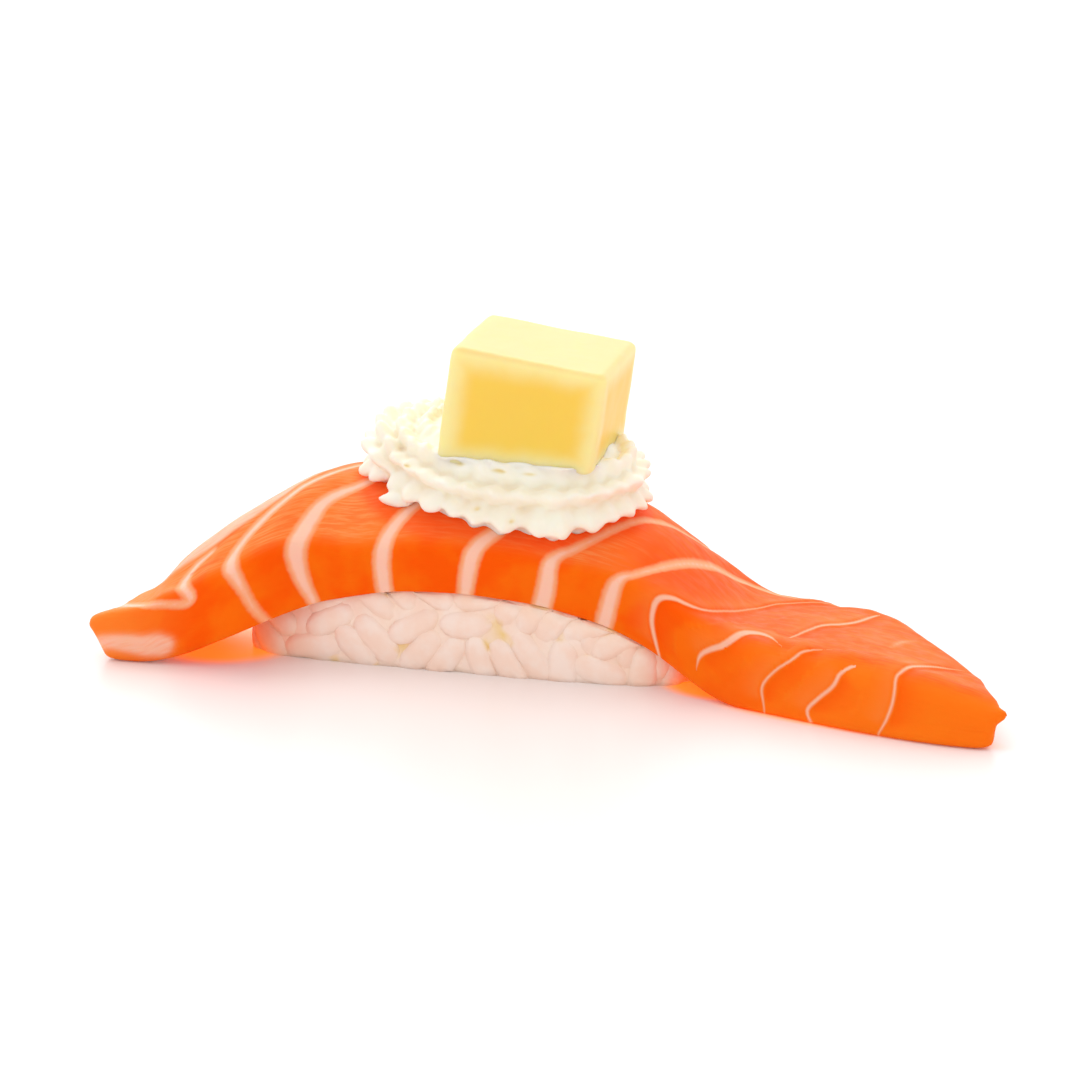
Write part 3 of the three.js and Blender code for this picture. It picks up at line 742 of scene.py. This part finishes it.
# %% One grain
deselect_all()
bpy.ops.mesh.primitive_uv_sphere_add(segments=12, ring_count=9, radius=0.5 * MM)
grain = take("rice_grain")
bpy.ops.object.mode_set(mode="EDIT")
bpy.ops.mesh.select_all(action="SELECT")
bpy.ops.transform.rotate(value=math.pi / 2, orient_axis="Y", center_override=(0, 0, 0))
bpy.ops.transform.resize(value=(GRAIN_LENGTH, GRAIN_THICKNESS, GRAIN_THICKNESS * 0.9))
bpy.ops.object.mode_set(mode="OBJECT")
body = read_points(grain)
blunt = np.abs(body[:, 0]) / (GRAIN_LENGTH / 2)
body[:, 1:] *= (1 + 0.16 * np.sin(np.pi * blunt ** 1.6))[:, None]
body[:, 2] += 0.18 * np.cos(body[:, 0] / GRAIN_LENGTH * np.pi)
write_points(grain, body)
measure(grain)


# %% Spread the grains over the wall
def spread_grains(inset, density, draw):
    """Finds the middles and directions of grains that cover the mound's wall evenly."""
    around = np.linspace(0, 2 * np.pi, 2001)
    circle = np.stack([np.cos(around), np.sin(around)], axis=1)
    outline = circle / plan_norm(circle)[:, None] * (RICE_HALF_SIZE - inset)
    walked = np.concatenate([[0], np.cumsum(np.linalg.norm(np.diff(outline, axis=0), axis=1))])
    top = np.maximum(ceiling_over(place_on_bench(outline, 0 * around)) - GRAIN_ROOM, GRAIN_FOOT)
    area = np.sum(np.diff(walked) * (top[:-1] + GRAIN_ROOM))
    count = round(area / (GRAIN_LENGTH * GRAIN_THICKNESS) * density)
    along = draw.uniform(0, walked[-1], count)
    height = draw.uniform(GRAIN_FOOT, 8, count)
    turn = draw.normal(0, 0.5, count)
    beads = np.array([-GRAIN_AXIS, 0, GRAIN_AXIS])
    owner = np.repeat(np.arange(count), 3)
    rounds, give, settling = 200, 0.12, 0.995
    for _ in range(rounds):
        x = (along[:, None] + beads * np.cos(turn)[:, None]).ravel()
        z = (height[:, None] + beads * np.sin(turn)[:, None]).ravel()
        gap_x = (x[:, None] - x + walked[-1] / 2) % walked[-1] - walked[-1] / 2
        gap_z = z[:, None] - z
        away = np.hypot(gap_x, gap_z) + 1e-6
        push = np.maximum(GRAIN_THICKNESS * GRAIN_SPACING - away, 0) / away * give
        push[owner[:, None] == owner] = 0
        push_x = (push * gap_x).sum(axis=1).reshape(-1, 3)
        push_z = (push * gap_z).sum(axis=1).reshape(-1, 3)
        lever = beads * (push_z * np.cos(turn)[:, None] - push_x * np.sin(turn)[:, None])
        along = (along + push_x.sum(axis=1)) % walked[-1]
        height = np.clip(height + push_z.sum(axis=1), GRAIN_FOOT, np.interp(along, walked, top))
        turn = (turn + lever.sum(axis=1) * give) * settling

    def on_outline(distance):
        return np.stack([np.interp(distance, walked, side) for side in outline.T], axis=1)

    plan = on_outline(along)
    run = (on_outline((along + 0.5) % walked[-1]) - plan) @ yaw_turn
    middle = place_on_bench(plan * wall_share(height)[:, None], height)
    kept = ceiling_over(middle) > GRAIN_FOOT
    print("inset", inset, "mm: grains kept", int(kept.sum()), "of", count)
    return middle[kept], np.arctan2(run[:, 1], run[:, 0])[kept], turn[kept]


draw = np.random.default_rng(11)
layers = [spread_grains(inset, density, draw) for inset, density in GRAIN_LAYERS]

# %% Copy the grain to every place
copies = []
shape = read_points(grain)
for middle, heading, turn in layers:
    for place, yaw, pitch in zip(middle, heading, turn):
        copy = grain.copy()
        copy.data = grain.data.copy()
        bpy.context.collection.objects.link(copy)
        pose = Euler((draw.uniform(0, 6.28), -pitch, yaw + draw.normal(0, 0.16))).to_matrix()
        stretched = shape * (draw.uniform(0.92, 1.08), draw.uniform(1.0, 1.14), 1.06)
        points = stretched @ np.array(pose).T + place
        clearance = 0.02 + 0.01 * (len(copies) % 7)  # faces at exactly one height would flicker
        write_points(copy, press(points, clearance, 0.8) + bench_to_frame)
        copies.append(copy)
bpy.data.objects.remove(grain)
rice_grains = join(copies, "rice_grains")
shade_smooth(rice_grains)
measure(rice_grains)

# %% Core behind the grains
deselect_all()
bpy.ops.mesh.primitive_cube_add(size=2 * MM)
rice_core = take("rice_core")
divide(rice_core, 0, 71)
divide(rice_core, 1, 29)
divide(rice_core, 2, 19)
square = read_points(rice_core)
norm = plan_norm(square[:, :2])
corner = np.abs(square[:, :2]).max(axis=1) / np.maximum(norm, 1e-6)
height = (square[:, 2] + 1) / 2 * CORE_HEIGHT
plan = square[:, :2] * corner[:, None] * (RICE_HALF_SIZE + CORE_OUTSET) * wall_share(height)[:, None]
core = place_on_bench(plan, height)
core += cloud(core, 1.5, 3)[:, None] * np.array([0.3, 0.3, 0.1])
write_points(rice_core, press(core, 0.06, CORE_OUTSET) + bench_to_frame)
shade_smooth(rice_core)
measure(rice_core)

# %% Tell each point of the rice how close it is to the fish and how deep in a crease
for piece in (rice_grains, rice_core):
    points = read_points(piece) - bench_to_frame
    x = points[:, 0]
    under_head = 0.45 * (1 - smoothstep(x, -30, -20)) + 0.25 * (1 - smoothstep(x, -30, -26))
    close_to_fish = 1 - smoothstep(ceiling_over(points) - points[:, 2], 0.2, 1.6)
    glow = under_head + 0.18 * close_to_fish + 0.12 * smoothstep(x, 6, 14)
    outside = seen_from_wall(points)[1]
    store(piece, fish_glow=np.clip(glow, 0, 1), crease=1 - smoothstep(outside, 0.5, 0.85))
    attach(piece, "root")
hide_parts("rice_bed")
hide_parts("rice_bed")

# %% [markdown]
# ## Finish of cooked rice
# A cooked grain is milky and moist and a little warmer where starch has gathered. Light that has
# passed through the fish tints it orange close by, which is painted in. Here and there in the
# creases between the grains a yellow-tan shade is painted. To let light scatter inside the grains
# would be the obvious way, but where hundreds of closed grains overlap it turns their seams dark.
# So the softness is painted light: pale, warm tones that follow how deep each point lies.

# %% Rice material
RICE = (0.98, 0.80, 0.70, 1)
RICE_SHADE = (0.97, 0.72, 0.59, 1)
RICE_CREASE_GLOW = (1.0, 0.80, 0.62, 1)
RICE_GAP_SHADE = (0.90, 0.62, 0.22, 1)
FISH_GLOW = (1.0, 0.54, 0.22, 1)

moist_rice = Finish("cooked_rice")
where = moist_rice.place()
starch = moist_rice.speckle(where, 420, 3)
colour = moist_rice.blend(moist_rice.ramp(starch, 0.35, 0.7), RICE_SHADE, RICE)
crease = moist_rice.stored("crease")
# Painted light: a warm, pale tone deep in the creases stands in for light scattered inside the grains.
colour = moist_rice.blend(moist_rice.maths("MULTIPLY", crease, 0.4), colour, RICE_CREASE_GLOW)
# Painted shade: yellow-tan spots here and there in the creases between the grains.
gap_shade_spots = moist_rice.ramp(moist_rice.speckle(where, 260, 1), 0.58, 0.66)
colour = moist_rice.blend(moist_rice.maths("MULTIPLY", crease, gap_shade_spots), colour, RICE_GAP_SHADE)
colour = moist_rice.blend(moist_rice.stored("fish_glow"), colour, FISH_GLOW)
moist_rice.complete(colour, moist_rice.speckle(where, 1400, 3), 0.25, 0.1 * MM, {
    "Roughness": 0.38,
    "Subsurface Weight": 0.0,
})
for piece in (rice_grains, rice_core):
    piece.data.materials.append(moist_rice.material)

# %% [markdown]
# ## Piped cream
# The cream is one rope, pressed through a star-shaped nozzle and laid in a flat spiral. The
# cube was then set on it and squeezed it into tiers of ruffles. A stack of wavy discs would look
# right from one side only. So the rope itself is made: a cylinder with a star section and
# rippled ridges, bent point by point along its spiral on the fish. Three more shapes fill the
# middle, lie pressed flat under the cube, and make the last bit off the nozzle. The Remesh
# modifier melts all four into one skin, as soft cream does.

# %% Path of the rope, in millimetres
ROPE_RADIUS = 3.5
ROPE_TEETH = 8
ROPE_TWIST = math.radians(17)
ROPE_GROOVE = 0.36  # depth of the grooves as a share of the radius
ROPE_SINK = 0.5  # height of the rope's centre over the fish, in rope radii
ROPE_SLUMP = 0.3  # share by which the rope's lower half has spread
RIPPLES_PER_TURN = 29
CALM_PLACES = [(332, 22, 0.6), (250, 12, 0.45)]  # bearing, spread, and how much calmer
COIL_START, COIL_SPREAD, COIL_END = 0.2, 1.05, 1.735  # in turns
COIL_END_TAPER = 0.06  # length over which the rope's end rounds off, in turns
COIL_START_ANGLE = -53
OUTER_COIL = 250  # bearing from which the rope lies on the outside
LOBES = [  # bearing, spread and height of the bulges at the rosette's foot
    (-58, 9, 0.34), (-40, 7, 0.18), (-80, 6, 0.12), (-116, 14, -0.16), (30, 8, 0.2),
    (75, 12, 0.2), (140, 9, 0.22),
]


def rope_radius(turns):
    return ROPE_RADIUS * (0.4 + 0.6 * ellipse_rise(COIL_END - turns, COIL_END_TAPER))


def rope_centre(turns):
    spread = smoothstep(turns, -0.2, COIL_SPREAD)
    angle = math.radians(COIL_START_ANGLE) + turns * 2 * math.pi
    x = CREAM_CENTRE[0] + (CREAM_HALF_SIZE[0] - ROPE_RADIUS) * spread * np.cos(angle)
    y = CREAM_CENTRE[1] + (CREAM_HALF_SIZE[1] - ROPE_RADIUS) * spread * np.sin(angle)
    return np.stack([x, y, slice_top(x, y) + rope_radius(turns) * ROPE_SINK], axis=1)


def unit(vectors):
    return vectors / np.linalg.norm(vectors, axis=1, keepdims=True)


# %% Rope of cream
deselect_all()
bpy.ops.mesh.primitive_cylinder_add(vertices=96, radius=ROPE_RADIUS * MM, depth=100 * MM)
rope = take("cream_rope")
divide(rope, 2, 99, 4)
stick = read_points(rope)
turns = COIL_START + (COIL_END - COIL_START) * (stick[:, 2] + 50) / 100
angle = np.arctan2(stick[:, 1], stick[:, 0])
rim_share = np.hypot(stick[:, 0], stick[:, 1]) / ROPE_RADIUS


def rope_cloud(per_turn, per_radian, seed):
    """Soft noise along and round the rope."""
    return cloud(np.stack([turns * per_turn, angle * per_radian, angle * 0], axis=1), 1.0, seed)


drift = rope_cloud(14, 0.6, 4)
bearing = np.degrees(turns * 2 * np.pi) + COIL_START_ANGLE
wave = turns * RIPPLES_PER_TURN * 2 * np.pi + 1.5 * angle + 1.6 * drift
strength = 0.045 + 0.07 * rope_cloud(16, 1.2, 5)
frill = 0.05 + 0.06 * rope_cloud(9, 0, 13)
strength += 0.02 + frill * np.maximum(-np.sin(angle), 0) + 0.03 * np.maximum(-np.cos(angle), 0)
calm = 1.0
for middle, spread, share in CALM_PLACES:
    calm = calm - share * np.exp(-((bearing - middle) / spread) ** 2)
strength *= calm

# %% Ridges, lobes and the bend along the spiral
ridge_angle = angle + ROPE_TWIST + 0.05 * np.sin(wave + 1.3) + 0.05 * drift
valley = np.sin(ROPE_TEETH / 2 * ridge_angle) ** 2
reach = 1 - ROPE_GROOVE * valley + strength * np.sin(wave) * (1 - 0.5 * valley)
reach *= 1 + 0.16 * np.maximum(np.sin(angle), 0)
outer_foot = np.maximum(-np.cos(angle) * 0.8 - np.sin(angle) * 0.6, 0) ** 2
for middle, spread, bulge in LOBES:
    away = (bearing - middle + 180) % 360 - 180
    reach += bulge * np.exp(-(away / spread) ** 2) * outer_foot * (bearing > OUTER_COIL)
centre = rope_centre(turns)
tangent = unit(rope_centre(turns + 0.002) - rope_centre(turns - 0.002))
inward = unit(np.cross((0, 0, 1), tangent))
upward = np.cross(tangent, inward)
slump = 1 + ROPE_SLUMP * np.maximum(-np.sin(angle), 0)
radius = (rim_share * rope_radius(turns) * reach * slump)[:, None]
bent = centre + inward * radius * np.cos(angle)[:, None] + upward * radius * np.sin(angle)[:, None]
write_points(rope, bent)
measure(rope)

# %% Heart of the cream
HEART_HEIGHT = 6.1
HEART_SINK = 0.3

deselect_all()
bpy.ops.mesh.primitive_uv_sphere_add(segments=48, ring_count=24, radius=1 * MM)
heart = take("cream_heart")
mass = read_points(heart) * np.array([*(CREAM_HALF_SIZE - ROPE_RADIUS * 0.7), HEART_HEIGHT])
mass += np.array([*CREAM_CENTRE, slice_top(*CREAM_CENTRE) - HEART_SINK])
write_points(heart, mass)
measure(heart)

# %% Sizes of the cube and of the pad under it, in millimetres
CUBE_SIZE = Vector((15.9, 16.7, 10.9))
CUBE_CENTRE = Vector((-1.4, 5.0, 26.3))
CUBE_ROUNDING = 0.8
CUBE_FOOT_LEFT = 1.4  # how far its lower face reaches down at the left, and at the right
CUBE_FOOT_RIGHT = -0.5
CUBE_TURN = Matrix.Rotation(math.radians(2), 4, "Z") @ Matrix.Rotation(math.radians(8.5), 4, "Y")
PAD_MARGIN = 0.8
PAD_DEPTH = 2.6
PAD_TAPER = 0.2  # share by which the pad is smaller at its foot
PAD_RISE = 0.95  # how far the cream has welled up round the cube's foot
PAD_SQUARENESS = 7


def foot_drop(points):
    """How far the cube's lower face is moved down, because it wasn't cut parallel to the upper one."""
    right = np.clip(points[:, 0] / CUBE_SIZE.x + 0.5, 0, 1)
    return CUBE_FOOT_LEFT + (CUBE_FOOT_RIGHT - CUBE_FOOT_LEFT) * right


def place_with_cube(points):
    """Slants the foot of a shape made round the square cube, and turns it to where the cube is."""
    slanted = points.copy()
    slanted[:, 2] -= foot_drop(points) * (0.5 - points[:, 2] / CUBE_SIZE.z)
    return slanted @ np.array(CUBE_TURN.to_3x3()).T + np.array(CUBE_CENTRE)


# %% Pad that the cube has pressed flat
deselect_all()
bpy.ops.mesh.primitive_cube_add(
    size=1, scale=((CUBE_SIZE.x + PAD_MARGIN) * MM, (CUBE_SIZE.y + PAD_MARGIN) * MM, PAD_DEPTH * MM)
)
pad = take("cream_pad")
bpy.ops.object.transform_apply(location=True, rotation=True, scale=True)
divide(pad, 0, 39)
divide(pad, 1, 39)
divide(pad, 2, 5)
pressed = read_points(pad)
square = np.abs(pressed[:, :2]) / np.abs(pressed[:, :2]).max(axis=0)
corner = (square ** PAD_SQUARENESS).sum(axis=1) ** (1 / PAD_SQUARENESS)
pressed[:, :2] *= (square.max(axis=1) / np.maximum(corner, 1e-6))[:, None]
pressed[:, :2] *= 1 - PAD_TAPER * (0.5 - pressed[:, 2:] / PAD_DEPTH)
ruffle = 0.04 * cloud(pressed, 2.6, 8) + 0.035 * cloud(pressed * (1, 1, 0.3), 1.1, 12)
pressed[:, :2] *= 1 + ruffle[:, None]
pressed[:, 2] += PAD_RISE - (CUBE_SIZE.z + PAD_DEPTH) / 2 + 0.45 * cloud(pressed, 1.9, 9)
write_points(pad, place_with_cube(pressed))
measure(pad)

# %% Last bit off the nozzle, and all four melted together
TIP_CENTRE = np.array([-14.5, -1.5])
TIP_HALF_SIZE = np.array([1.9, 0.8, 0.8])
TIP_RISE = 0.48

deselect_all()
bpy.ops.mesh.primitive_uv_sphere_add(segments=24, ring_count=16, radius=1 * MM)
tip = take("cream_tip")
lobe = read_points(tip) * TIP_HALF_SIZE
lobe[:, 1:] *= 1 + 0.35 * np.clip(lobe[:, :1] / TIP_HALF_SIZE[0], -1, 1)
write_points(tip, lobe + np.array([*TIP_CENTRE, slice_top(*TIP_CENTRE) + TIP_RISE]))
cream = join([rope, heart, tip, pad], "cream_rosette_piped")
apply_modifier(cream, "REMESH", mode="VOXEL", voxel_size=0.22 * MM)
apply_modifier(cream, "SMOOTH", factor=0.5, iterations=4)
soft = read_points(cream)
lumps = 0.14 * cloud(soft, 2.3, 10) + 0.06 * cloud(soft, 0.9, 11)
write_points(cream, soft + normals_of(cream) * lumps[:, None])
measure(cream)

# %% [markdown]
# ## Mango cube
# The cube is cut by hand, so its faces are not quite flat and its edges are soft. A cube with
# a Bevel modifier has the right edges but too few faces to carry unevenness or a change of
# colour towards its edges. Remeshing it while it still stands square gives an even grid, whose
# points are moved in and out a little, as the knife has left them. Only after that is its foot
# slanted, and the cube turned and put in its place.

# %% Cube of fruit
deselect_all()
bpy.ops.mesh.primitive_cube_add(size=1, scale=CUBE_SIZE * MM)
mango = take("mango_flesh_cube")
bpy.ops.object.transform_apply(location=True, rotation=True, scale=True)
apply_modifier(mango, "BEVEL", width=CUBE_ROUNDING * MM, segments=4, limit_method="NONE")
apply_modifier(mango, "REMESH", mode="VOXEL", voxel_size=0.3 * MM)
apply_modifier(mango, "SMOOTH", factor=0.5, iterations=3)
square = read_points(mango)
half = np.array(CUBE_SIZE) / 2
to_faces = np.sort(half - np.abs(square), axis=1)
edge_distance = to_faces[:, 1]
knife = cloud(square, 5.0, 5) * 0.12 + cloud(square, 1.4, 6) * 0.03
square = square + normals_of(mango) * knife[:, None]
write_points(mango, place_with_cube(square) + bench_to_frame)
shade_smooth(mango)
store(mango, edge_distance=edge_distance, cube_place=square)
measure(mango)

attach(mango, "root")
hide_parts("mango_cube")

# %% [markdown]
# ## Cream between the fish and the cube
# Soft cream gives way to whatever rests on it or carries it, and clings to it. A Boolean
# modifier could cut the fish and the cube out of it, but it leaves sharp rims and many slivers.
# So each point that lies inside the fish is lifted to its face, and each point inside the cube
# goes down to the cube's foot, with the rounded rim of that foot. Then small air holes are
# pressed into the front.

# %% Press the cream against its neighbours
STICKING = 0.15  # how far the soft cream clings to the cube's faces


def place_in_cube(points):
    """Where points on the bench lie in the square cube: the way back from place_with_cube."""
    square = (points - np.array(CUBE_CENTRE)) @ np.array(CUBE_TURN.to_3x3())
    drop = foot_drop(square)
    square[:, 2] = (square[:, 2] + drop / 2) / (1 + drop / CUBE_SIZE.z)
    return square


soft = read_points(cream)
soft[:, 2] = np.maximum(soft[:, 2], slice_top(soft[:, 0], soft[:, 1]) + 0.03)
in_cube = place_in_cube(soft)
within = half - STICKING
past_flat = np.maximum(np.abs(in_cube) - within + CUBE_ROUNDING, 0)
inside = (np.abs(in_cube) < within).all(axis=1) & (np.linalg.norm(past_flat, axis=1) < CUBE_ROUNDING)
from_rim = np.minimum(np.linalg.norm(past_flat[:, :2], axis=1), CUBE_ROUNDING)
foot = CUBE_ROUNDING - np.sqrt(CUBE_ROUNDING ** 2 - from_rim ** 2) - within[2]
in_cube[inside, 2] = foot[inside]
soft[inside] = place_with_cube(in_cube[inside])
write_points(cream, soft)
apply_modifier(cream, "SMOOTH", factor=0.5, iterations=1)
print("points moved out of the cube:", int(inside.sum()))

# %% Air holes and hollows
PITS = [  # place along x, height, half length and depth of each air hole in the front
    (-13.1, 20.6, 0.6, 0.4), (-7.7, 20.9, 0.9, 0.4), (-3.3, 20.7, 1.0, 0.4), (-0.4, 20.3, 1.2, 0.3),
    (-5.0, 17.2, 0.5, 0.3), (-1.2, 16.2, 0.4, 0.3),
]
PIT_DEPTH_REACH, PIT_HALF_HEIGHT = 0.6, 0.32


def hollowness(piece, rounds):
    """How far each point lies below the mean of its neighbourhood, in millimetres."""
    points = read_points(piece)
    ends = np.empty(len(piece.data.edges) * 2, dtype=int)
    piece.data.edges.foreach_get("vertices", ends)
    start = np.concatenate([ends[0::2], ends[1::2]])
    end = np.concatenate([ends[1::2], ends[0::2]])
    count = np.bincount(start, minlength=len(points))
    mean = points
    for _ in range(rounds):
        mean = np.stack([np.bincount(start, side[end], len(points)) / count for side in mean.T], axis=1)
    return ((mean - points) * normals_of(piece)).sum(axis=1)


soft = read_points(cream)
pitted = np.zeros(len(soft))
for x, z, half_length, depth in PITS:
    near = (np.abs(soft[:, 0] - x) < 0.3) & (np.abs(soft[:, 2] - z) < 0.3)
    mouth = soft[near][np.argmin(soft[near, 1])]
    size = np.array([half_length, PIT_DEPTH_REACH, PIT_HALF_HEIGHT])
    away = np.linalg.norm((soft - mouth) / size, axis=1)
    pitted = np.maximum(pitted, depth * np.exp(-away ** 2))
write_points(cream, soft - normals_of(cream) * pitted[:, None] + bench_to_frame)
shade_smooth(cream)
store(cream, hollow=hollowness(cream, rounds=14), pit=pitted)
measure(cream)

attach(cream, "root")
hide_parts("cream_rosette")

# %% [markdown]
# ## Finish of the cream
# Whipped cream is ivory rather than white, satin rather than glossy, and glows a little, because
# light scatters just under its skin. Its grooves look warmer and darker. In a bright white room
# light alone shades them too weakly. So each point has learned how hollow its neighbourhood is,
# and the colour paints that shade in, darkest and yellowest in the air holes.

# %% Cream material
CREAM = (0.99, 0.94, 0.80, 1)
CREAM_SHADE = (0.97, 0.885, 0.735, 1)
CREAM_HOLLOW = (0.93, 0.80, 0.58, 1)
CREAM_PIT_SHADE = (0.85, 0.66, 0.20, 1)

soft_cream = Finish("piped_cream")
where = soft_cream.place()
milky = soft_cream.ramp(soft_cream.speckle(where, 260, 3), 0.35, 0.65)
hollow = soft_cream.ramp(soft_cream.stored("hollow"), 0.03, 0.22, 0.0, 0.6)
pit = soft_cream.ramp(soft_cream.stored("pit"), 0.1, 0.4, 0.0, 0.75)
colour = soft_cream.blend(milky, CREAM_SHADE, CREAM)
colour = soft_cream.blend(hollow, colour, CREAM_HOLLOW)
# Painted shade inside the air holes.
colour = soft_cream.blend(pit, colour, CREAM_PIT_SHADE)
soft_cream.complete(colour, soft_cream.speckle(where, 1600, 3), 0.2, 0.1 * MM, {
    "Roughness": 0.5,
    "Subsurface Weight": 0.5,
    "Subsurface Radius": (1.0, 0.85, 0.6),
    "Subsurface Scale": 1.2 * MM,
})
cream.data.materials.append(soft_cream.material)

# %% [markdown]
# ## Finish of the mango
# Ripe mango is deep yellow where the eye looks far into it, and pale along its edges, where
# light leaves on both sides. Scattering gives a little of this, but not enough in so small a
# cube. So the colour also goes from pale to deep with the distance from the nearest edge, which
# was kept for every point. The upper face gets the most light, so its own colour is a little
# darker than that of the edges.

# %% Mango material
PALE_MANGO = (0.95, 0.82, 0.37, 1)
DEEP_MANGO = (0.96, 0.64, 0.075, 1)
TOP_MANGO = (0.88, 0.64, 0.25, 1)

ripe_fruit = Finish("mango_flesh")
place = ripe_fruit.stored("cube_place", "Vector")
sides = ripe_fruit.add("ShaderNodeSeparateXYZ", {"Vector": place})
drift = ripe_fruit.maths("SUBTRACT", ripe_fruit.speckle(place, 0.35, 2), 0.5)
drift = ripe_fruit.maths("MULTIPLY", drift, 1.2)
depth = ripe_fruit.maths("ADD", ripe_fruit.stored("edge_distance"), drift)
deep = ripe_fruit.ramp(depth, 0.0, 2.9)
deep = ripe_fruit.maths("MULTIPLY", deep, ripe_fruit.ramp(sides["X"], -8.4, -4.8, 0.2, 1.0))
deep = ripe_fruit.maths("MULTIPLY", deep, ripe_fruit.ramp(sides["Z"], -5.6, -3.2, 0.3, 1.0))
colour = ripe_fruit.blend(deep, PALE_MANGO, DEEP_MANGO)
colour = ripe_fruit.blend(ripe_fruit.ramp(sides["Z"], 4.7, 5.4), colour, TOP_MANGO)
threads = ripe_fruit.speckle(ripe_fruit.stretch(place, (2.4, 2.4, 0.3)), 1.0, 3)
ripe_fruit.complete(colour, threads, 0.15, 0.1 * MM, {
    "Roughness": 0.4,
    "Subsurface Weight": 0.5,
    "Subsurface Radius": (1.0, 0.7, 0.2),
    "Subsurface Scale": 3 * MM,
})
mango.data.materials.append(ripe_fruit.material)

# %% [markdown]
# ## Camera, plate and light
# The nigiri stands on a white surface in a bright white studio, seen from a little above and
# slightly from its right. A long lens keeps its ends from looking stretched. A white surface
# that is lit evenly all over needs no backdrop: at this angle the camera sees nothing else. The
# light is mostly sky from everywhere, with one broad soft sun from behind and above, so that
# the top faces are the brightest, and a glowing panel behind, which the moist flesh reflects.
# The light that passes through the thin ends of the slice tints the plate orange. To trace it
# would take very long, so soft ovals of painted orange colour and glow on the plate stand for it.

# %% Camera
CAMERA_AZIMUTH = math.radians(14)
CAMERA_HEIGHT = math.radians(15)
CAMERA_DISTANCE = 450
CAMERA_LENS = 150
CAMERA_TARGET = Vector(bench_to_frame) + Vector((0, 0, 12.7))

back = Vector((
    math.sin(CAMERA_AZIMUTH) * math.cos(CAMERA_HEIGHT),
    -math.cos(CAMERA_AZIMUTH) * math.cos(CAMERA_HEIGHT),
    math.sin(CAMERA_HEIGHT),
))
deselect_all()
bpy.ops.object.camera_add(location=(CAMERA_TARGET + back * CAMERA_DISTANCE) * MM)
camera = take("camera")
camera.rotation_euler = (-back).to_track_quat("-Z", "Y").to_euler()
camera.data.lens = CAMERA_LENS
camera.data.sensor_width = 36
camera.data.clip_start = 0.01
bpy.context.scene.camera = camera
print("camera at", [round(value, 4) for value in camera.location])

# %% Plate
PLATE = (0.86, 0.80, 0.785, 1)
PLATE_LIGHT = (0.05, 0.0485, 0.048, 1)
PAINTED_GLOW_TINT = (1.0, 0.46, 0.10, 1)
PAINTED_GLOW_EMISSION = (0.52, 0.15, 0.010, 1)

deselect_all()
bpy.ops.mesh.primitive_plane_add(size=6, location=(0, 0, 0))
plate = take("plate")
white_plate = Finish("white_plate")
where = white_plate.place()


def painted_glow_oval(middle, half_size, turn):
    """A soft oval of painted glow on the plate, 1 in its middle and 0 from its rim."""
    oval = white_plate.add("ShaderNodeMapping", {
        "Vector": where,
        "Location": (np.array([*middle, 0]) + bench_to_frame) * MM,
        "Rotation": (0, 0, math.radians(turn)),
        "Scale": (half_size[0] * MM, half_size[1] * MM, 1),
    }, vector_type="TEXTURE")[0]
    away = white_plate.add("ShaderNodeVectorMath", {0: oval}, operation="LENGTH")["Value"]
    return white_plate.ramp(away, 1.0, 0.6)


# Painted glow: orange colour and light on the plate where light through the fish would fall.
under_head = painted_glow_oval((-33.0, -1.5), (8.5, 8.0), 0)
under_tail = painted_glow_oval((19.0, -4.1), (7.0, 5.0), -24)
along_tail = white_plate.maths("MULTIPLY", painted_glow_oval((34.5, -13.2), (17, 3.0), -15), 0.6)
painted_glow_mask = white_plate.maths("MAXIMUM", under_head, under_tail)
painted_glow_mask = white_plate.maths("MAXIMUM", painted_glow_mask, along_tail)
white_plate.fill(white_plate.shader.inputs, {
    "Base Color": white_plate.blend(painted_glow_mask, PLATE, PAINTED_GLOW_TINT),
    "Emission Color": white_plate.blend(painted_glow_mask, PLATE_LIGHT, PAINTED_GLOW_EMISSION),
    "Emission Strength": 1.0,
    "Roughness": 0.32,
    "Specular IOR Level": 0.5,
})
plate.data.materials.append(white_plate.material)
print("plate: 6 m square, with", len(white_plate.material.node_tree.nodes), "shader nodes")

# %% Light
SKY = 0.98
SUN = 1.3
SUN_WIDTH = math.radians(60)
PANEL = 0.3
PANEL_WIDTH, PANEL_HEIGHT = 1.8, 0.7

world = bpy.data.worlds.new("studio")
bpy.context.scene.world = world
world.use_nodes = True
sky = world.node_tree.nodes["Background"].inputs
sky["Color"].default_value = (1, 1, 1, 1)
sky["Strength"].default_value = SKY

deselect_all()
bpy.ops.object.light_add(type="SUN", rotation=(math.radians(-32), math.radians(-22), 0))
sun = take("soft_sun")
sun.data.energy = SUN
sun.data.angle = SUN_WIDTH

deselect_all()
bpy.ops.object.light_add(type="AREA", location=(-0.1, 0.9, 0.42), rotation=(math.radians(-68), 0, 0))
panel = take("back_panel")
panel.data.shape = "RECTANGLE"
panel.data.size = PANEL_WIDTH
panel.data.size_y = PANEL_HEIGHT
panel.data.energy = PANEL * math.pi * PANEL_WIDTH * PANEL_HEIGHT
panel.visible_camera = False

view = bpy.context.scene.view_settings
view.view_transform = "Standard"
view.look = "None"
view.exposure = 0
print("lights:", [light.name for light in (sun, panel)])
